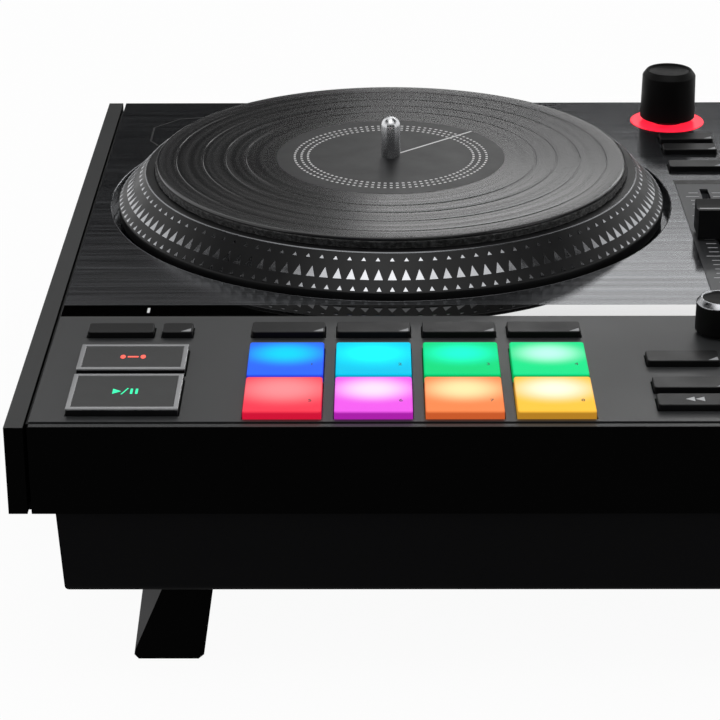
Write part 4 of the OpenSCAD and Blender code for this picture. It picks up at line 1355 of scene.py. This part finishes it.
class BuildKnobs(bpy.types.Operator):
    """Builds the browse, loop and mixer knobs."""

    bl_idname = "controller.knobs"
    bl_label = "Knobs"

    def execute(self, context):
        rubber = stock(soft_touch_knob)
        for side, _ in DECKS:
            self.browse_knob(f"browse_knob_{side}", rubber)
            self.loop_knob(f"loop_knob_{side}", rubber)
        for channel in (1, 2):
            for band in ("high", "mid", "low"):
                self.mixer_knob(f"{band}_knob_{channel}", rubber)
        return {"FINISHED"}

    def measures(self, node):
        """Radius, foot and top of what stands over the plates, in mm."""
        low, high = solids(node, TOP + 0.5 * MM)[0]
        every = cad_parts[node].data.vertices
        foot = min(v.co.z for v in every if v.co.z > TOP + 0.5 * MM)
        return (high.x - low.x) / 2 / MM, (foot - TOP) / MM, (high.z - TOP) / MM

    def shaft(self, node, foot):
        """The shaft between a knob and its encoder, seen in the gap under it."""
        pin = turned(f"{node}_shaft", middle(node), [(3.0, -5.0), (3.0, foot - 0.1), (2.8, foot + 0.1)], 32)
        finish(pin, stock(zinc_steel), node)

    def browse_knob(self, node, rubber):
        r, foot, top = self.measures(node)
        outline = [(r - 0.3, foot), (r, foot + 0.3), (r - 0.35, top - 2.4), (r - 0.5, top - 2.0),
                   (r - 1.8, top - 0.25), (r - 2.2, top), (r - 2.5, top - 0.1), (r - 2.9, top - 0.8),
                   (r - 5.5, top - 1.4), (r - 8.0, top - 1.6), (0.4, top - 1.65)]
        finish(turned(f"soft_{node}", middle(node), outline, 128), rubber, node,
               [node], 28)
        self.shaft(node, foot)

    def loop_knob(self, node, rubber):
        r, foot, top = self.measures(node)
        outline = [(r - 0.7, foot), (r - 0.1, foot + 0.3), (r, foot + 1.0), (r - 0.1, top - 1.9),
                   (r - 0.3, top - 1.7)]
        dish = [(r - 1.9, top - 0.15), (r - 2.1, top - 0.45), (r - 3.5, top - 0.75), (0.4, top - 0.85)]
        body = turned(f"soft_{node}", middle(node), outline + dish, 96)
        finish(body, rubber, node, [node], 40)
        ring = turned(f"{node}_chamfer", middle(node),
                      [(r - 0.5, top - 1.8), (r - 0.02, top - 1.75), (r - 0.1, top - 1.45),
                       (r - 1.3, top - 0.1), (r - 1.6, top), (r - 2.0, top - 0.1), (r - 2.1, top - 0.4)],
                      96, ring=True)
        finish(ring, stock(turned_aluminium), node, angle=40)
        self.shaft(node, foot)

    def mixer_knob(self, node, rubber):
        """A skirted knob with grip flutes and a pale pointer."""
        r, foot, top = self.measures(node)
        centre = middle(node)
        grip = r - 1.4
        outline = [(r - 0.4, foot), (r, foot + 0.4), (r, foot + 1.6), (grip + 0.3, foot + 2.8),
                   (grip, foot + 3.6), (grip - 0.5, top - 1.1), (grip - 0.9, top - 0.4),
                   (grip - 1.5, top), (0.4, top)]
        knob = turned(f"soft_{node}", centre, outline, 120)
        for vert in knob.data.vertices:
            arm = Vector((vert.co.x - centre.x, vert.co.y - centre.y, 0))
            height = (vert.co.z - TOP) / MM
            if foot + 3.0 < height < top - 0.6:
                turn = math.atan2(arm.y, arm.x)
                arm.normalize()
                vert.co -= arm * 0.42 * MM * max(0.0, math.cos(20 * turn)) ** 2
        finish(knob, rubber, node, [node], 50)
        pointer = block(f"{node}_pointer",
                        (centre.x - 0.45 * MM, centre.y + 1.4 * MM, TOP + (top - 0.1) * MM),
                        (centre.x + 0.45 * MM, centre.y + (grip - 1.2) * MM, TOP + (top + 0.05) * MM))
        with shaping(pointer):
            pick(pointer, "edges", upright)
            bpy.ops.mesh.bevel(offset=0.2 * MM, segments=2)
        finish(pointer, stock(white_ink), node)
        self.shaft(node, foot)


class BuildLamps(bpy.types.Operator):
    """Builds the lit rings under the browse knobs, and the level meter."""

    bl_idname = "controller.lamps"
    bl_label = "Lamps"

    def execute(self, context):
        colours = context.scene.controller_pads
        lenses = solids("light_lenses")
        rings = sorted((box for box in lenses if box[1].y - box[0].y < 40 * MM), key=lambda box: box[0].x)
        glow = stock(glowing_plastic, (*colours.ring_red, 1.0), paint("#ff2a44"), 1.0,
                     name="lit_red_ring")
        for (side, _), (low, high) in zip(DECKS, rings):
            knob = middle(f"browse_knob_{side}")
            wide, top = (high.x - low.x) / 2 / MM, (high.z - TOP) / MM
            bore = 6.5
            ring = turned(f"light_ring_{side}", knob,
                          [(bore, -0.4), (wide, -0.4), (wide, top - 0.15), (wide - 0.2, top),
                           (bore + 0.2, top), (bore, top - 0.15)], 128, ring=True)
            finish(ring, glow, "case", ["light_lenses"], 40)
        self.meter(next(box for box in lenses if box[1].y - box[0].y > 40 * MM))
        return {"FINISHED"}

    def meter(self, box):
        """A smoked window over two columns of small lamps."""
        low, high = box
        mid = (low + high) / 2
        window = cap("meter_window", (low.x, low.y, TOP - 0.6 * MM), high, 1.0 * MM, 0.15 * MM, 2)
        finish(window, stock(smoked_window), "case")
        tones = {"green": ("#11bb5a", "#37e880"), "amber": ("#e08a12", "#ffb040"),
                 "red": ("#c81a1a", "#ff4034")}
        pitch = (high.y - low.y - 8 * MM) / 14
        for name, first, last in (("green", 0, 9), ("amber", 9, 12), ("red", 12, 14)):
            bars = []
            for k in range(first, last):
                y = low.y + 4 * MM + (k + 0.5) * pitch
                for way in (-1, 1):
                    x = mid.x + way * 2.6 * MM
                    bars.append(stroke("segment", (x - 1.6 * MM, y), (x + 1.6 * MM, y), 3.6 * MM,
                                       high.z - 0.02 * MM, high.z + 0.05 * MM))
            deep, bright = (paint(text) for text in tones[name])
            lamp = stock(glowing_plastic, deep, bright, 0.85, name=f"meter_{name}")
            finish(joined(bars, f"meter_{name}_lamps"), lamp, "case")


class BuildPrints(bpy.types.Operator):
    """Builds the engraved corner line of each deck plate and the plain deck numbers."""

    bl_idname = "controller.prints"
    bl_label = "Prints"

    def execute(self, context):
        dark = stock(black_ink)
        white = stock(white_ink)
        low, high = TOP + 0.003 * MM, TOP + 0.04 * MM
        path = [(60.0, 308.0), (31.3, 301.0), (21.6, 289.8), (21.6, 272.6), (25.1, 266.7)]
        for n, (side, by) in enumerate(DECKS, 1):
            corners = [spot(x, y) + Vector((by, 0, 0)) for x, y in path]
            lines = [stroke("edge", a, b, 0.7 * MM, low, high) for a, b in zip(corners, corners[1:])]
            finish(joined(lines, f"corner_line_{side}"), dark, "case")
            place = spot(36.0, 92.6, 0.02) + Vector((by, 0, 0))
            finish(numeral(f"deck_number_{side}", str(n), place, 5.6, 0.16), white, "case")
        return {"FINISHED"}


# Back, underside and inside

class BuildSockets(bpy.types.Operator):
    """Builds the metal rings and coloured inserts of the sockets, feet and screws."""

    bl_idname = "controller.sockets"
    bl_label = "Sockets"

    def execute(self, context):
        refinish("sockets", stock(glass_filled_nylon))
        refinish("tray_feet", stock(foot_rubber))
        refinish("case_screws", stock(zinc_steel))
        nickel = stock(nickel_collar)
        tones = (stock(white_insert),
                 stock(red_insert))
        phono = 0
        for n, (low, high) in enumerate(solids("sockets"), 1):
            wide, tall = (high.x - low.x) / MM, (high.z - low.z) / MM
            if abs(wide - tall) > 0.5:
                continue
            finish(self.collar(f"socket_collar_{n}", low, high, wide / 2 - 1.2, wide / 2 - 0.1), nickel,
                   "case", angle=40)
            if wide > 14:
                ring = self.collar(f"phono_insert_{n}", low, high, wide / 2 - 2.9, wide / 2 - 1.3)
                finish(ring, tones[phono % 2], "case", angle=40)
                phono += 1
        return {"FINISHED"}

    def collar(self, name, low, high, inner, outer):
        """A thin ring round a socket, standing just proud of its panel."""
        mid = (low + high) / 2
        back = mid.y > 0
        ring = turned(name, Vector((0, 0, 0)),
                      [(inner, -0.8), (outer, -0.8), (outer, 0.15), (outer - 0.12, 0.3),
                       (inner + 0.12, 0.3), (inner, 0.15)], 64, ring=True)
        turn = Matrix.Rotation(math.radians(-90 if back else 90), 4, "X")
        face = Vector((mid.x, high.y if back else low.y, mid.z))
        ring.data.transform(Matrix.Translation(face) @ turn @ Matrix.Translation((0, 0, -TOP)))
        return ring


class BuildInside(bpy.types.Operator):
    """Gives the pieces inside the case their materials."""

    bl_idname = "controller.inside"
    bl_label = "Inside"

    def execute(self, context):
        steel = stock(pressed_motor_steel)
        refinish("platter_motors", steel)
        mask = stock(green_solder_mask)
        refinish("circuit_boards", mask)
        refinish("potentiometers", stock(tinned_pot_case))
        refinish("key_switches", stock(switch_nylon))
        return {"FINISHED"}


# Stage

class BuildStage(bpy.types.Operator):
    """Builds the floor, the soft light, the flags and the camera."""

    bl_idname = "controller.stage"
    bl_label = "Stage"

    def execute(self, context):
        sizes = context.scene.controller_stage
        self.floor()
        self.world(sizes.fill)
        self.lamp("softbox_back_right", (0.09, 1.2, 0.597), (0.09, 0.0, 0.597), (0.62, 0.095),
                  sizes.softbox)
        self.lamp("overhead", (0.1, -0.55, 1.9), (0.0, 0.0, 0.1), (1.8, 1.2), sizes.key)
        self.flag("flag_back", (-0.165, 1.25, 0.44), (-0.165, 0.0, 0.44), (1.17, 0.52))
        self.flag("flag_front", (-0.2, -1.9, 0.78), (-0.2, 0.0, 0.78), (4.4, 1.55))
        self.flag("flag_above_left", (-2.1, 0.0, 2.0), (-2.1, 0.0, 0.0), (1.8, 2.7))
        self.flag("flag_above_right", (1.32, 0.0, 2.0), (1.32, 0.0, 0.0), (2.2, 2.7))
        self.camera(sizes.lens)
        return {"FINISHED"}

    def floor(self):
        """A pale floor that reads as white, and keeps a soft shadow."""
        deselect()
        bpy.ops.mesh.primitive_plane_add(size=9, location=(0, 0, CAD_LOW.z))
        floor = added("floor")
        material = bpy.data.materials.new("white_paper_sweep")
        material.use_nodes = True
        tree = material.node_tree
        tree.nodes.clear()
        seen = self.seen(tree)
        share = add(tree, "Math", {0: seen, 1: 0.95}, operation="MULTIPLY").outputs[0]
        place = add(tree, "TexCoord").outputs["Object"]
        tooth = add(tree, "TexNoise", {"Vector": place, "Scale": 900, "Detail": 2.0}).outputs[0]
        rough = add(tree, "MapRange", {"Value": tooth, "To Min": 0.8, "To Max": 0.95})
        paper = add(tree, "BsdfPrincipled", {"Base Color": paint("#f4f4f4"), "Roughness": rough.outputs[0],
                                             "Specular IOR Level": 0.1})
        white = add(tree, "Emission", {"Color": WHITE, "Strength": 1.0})
        both = add(tree, "MixShader", {0: share, 1: paper.outputs[0], 2: white.outputs[0]})
        add(tree, "OutputMaterial", {"Surface": both.outputs[0]})
        floor.data.materials.append(material)

    def seen(self, tree):
        """1 for rays from the camera and those that metal and glass send on."""
        path = add(tree, "LightPath")
        first = add(tree, "Math", {0: path.outputs["Is Camera Ray"], 1: path.outputs["Is Glossy Ray"]},
                    operation="MAXIMUM").outputs[0]
        return add(tree, "Math", {0: first, 1: path.outputs["Is Transmission Ray"]},
                   operation="MAXIMUM").outputs[0]

    def world(self, fill):
        world = bpy.data.worlds.new("studio")
        bpy.context.scene.world = world
        world.use_nodes = True
        tree = world.node_tree
        tree.nodes.clear()
        white = add(tree, "Background", {"Color": WHITE, "Strength": 1.0})
        soft = add(tree, "Background", {"Color": WHITE, "Strength": fill})
        both = add(tree, "MixShader", {0: self.seen(tree), 1: soft.outputs[0], 2: white.outputs[0]})
        add(tree, "OutputWorld", {"Surface": both.outputs[0]})

    def aimed(self, obj, place, target):
        obj.location = place
        way = Vector(target) - Vector(place)
        obj.rotation_mode = "QUATERNION"
        obj.rotation_quaternion = way.to_track_quat("-Z", "Y")

    def lamp(self, name, place, target, size, power):
        light = bpy.data.lights.new(name, "AREA")
        light.shape = "RECTANGLE"
        light.size, light.size_y = size
        light.energy = power
        obj = bpy.data.objects.new(name, light)
        bpy.context.scene.collection.objects.link(obj)
        obj.visible_camera = False
        self.aimed(obj, place, target)

    def flag(self, name, place, target, size):
        """A black card that keeps a stretch of the white studio out of the reflections."""
        deselect()
        bpy.ops.mesh.primitive_plane_add(size=1)
        card = added(name)
        card.data.transform(Matrix.Diagonal((size[0], size[1], 1, 1)))
        way = Vector(target) - Vector(place)
        card.data.transform(way.to_track_quat("-Z", "Y").to_matrix().to_4x4())
        card.data.transform(Matrix.Translation(place))
        material = bpy.data.materials.get("black_flag") or bpy.data.materials.new("black_flag")
        material.use_nodes = True
        shader = material.node_tree.nodes["Principled BSDF"]
        shader.inputs["Base Color"].default_value = BLACK
        shader.inputs["Specular IOR Level"].default_value = 0.0
        card.data.materials.append(material)
        card.visible_camera = False
        card.visible_diffuse = False
        card.visible_shadow = False

    def camera(self, lens):
        """The camera at its place in metres, turned left, down and over by its angles in degrees."""
        data = bpy.data.cameras.new("camera")
        data.lens = lens
        data.sensor_width = 36
        obj = bpy.data.objects.new("camera", data)
        bpy.context.scene.collection.objects.link(obj)
        obj.location = CAMERA_PLACE
        yaw, pitch, roll = (math.radians(a) for a in (CAMERA_YAW, CAMERA_PITCH, CAMERA_ROLL))
        ahead = Vector((math.sin(yaw) * math.cos(pitch), math.cos(yaw) * math.cos(pitch), -math.sin(pitch)))
        across = Vector((math.cos(yaw), -math.sin(yaw), 0))
        above = across.cross(ahead)
        right = across * math.cos(roll) + above * math.sin(roll)
        up = above * math.cos(roll) - across * math.sin(roll)
        turn = Matrix((right, up, -ahead)).transposed()
        obj.rotation_mode = "QUATERNION"
        obj.rotation_quaternion = turn.to_quaternion()
        data.clip_start, data.clip_end = 0.01, 50
        bpy.context.scene.camera = obj
        bpy.context.scene.view_settings.view_transform = "Standard"


class ControllerPanel(bpy.types.Panel):
    """Settings and build steps in the sidebar."""

    bl_idname = "CONTROLLER_PT_main"
    bl_label = "Controller"
    bl_space_type = "VIEW_3D"
    bl_region_type = "UI"
    bl_category = "Controller"

    def draw(self, context):
        for name, group in SETTINGS:
            box = self.layout.box()
            for key in group.__annotations__:
                box.prop(getattr(context.scene, name), key)
        for step in STEPS:
            self.layout.operator(step.bl_idname)


SETTINGS = (("controller_case", CaseSettings), ("controller_deck", DeckSettings),
            ("controller_pads", PadSettings), ("controller_stage", StageSettings))
STEPS = (BuildCase, BuildLegs, BuildPlatters, BuildSlipmats, BuildRecords, BuildSpindles, BuildPads,
         BuildKeys, BuildFaders, BuildKnobs, BuildLamps, BuildPrints, BuildSockets, BuildInside,
         BuildStage)


def register():
    for name, group in SETTINGS:
        bpy.utils.register_class(group)
        setattr(bpy.types.Scene, name, PointerProperty(type=group))
    for step in STEPS:
        bpy.utils.register_class(step)
    bpy.utils.register_class(ControllerPanel)


def unregister():
    bpy.utils.unregister_class(ControllerPanel)
    for step in reversed(STEPS):
        bpy.utils.unregister_class(step)
    for name, group in reversed(SETTINGS):
        delattr(bpy.types.Scene, name)
        bpy.utils.unregister_class(group)


def main():
    register()
    for step in STEPS:
        group, call = step.bl_idname.split(".")
        getattr(getattr(bpy.ops, group), call)()


if __name__ == "__main__":
    main()
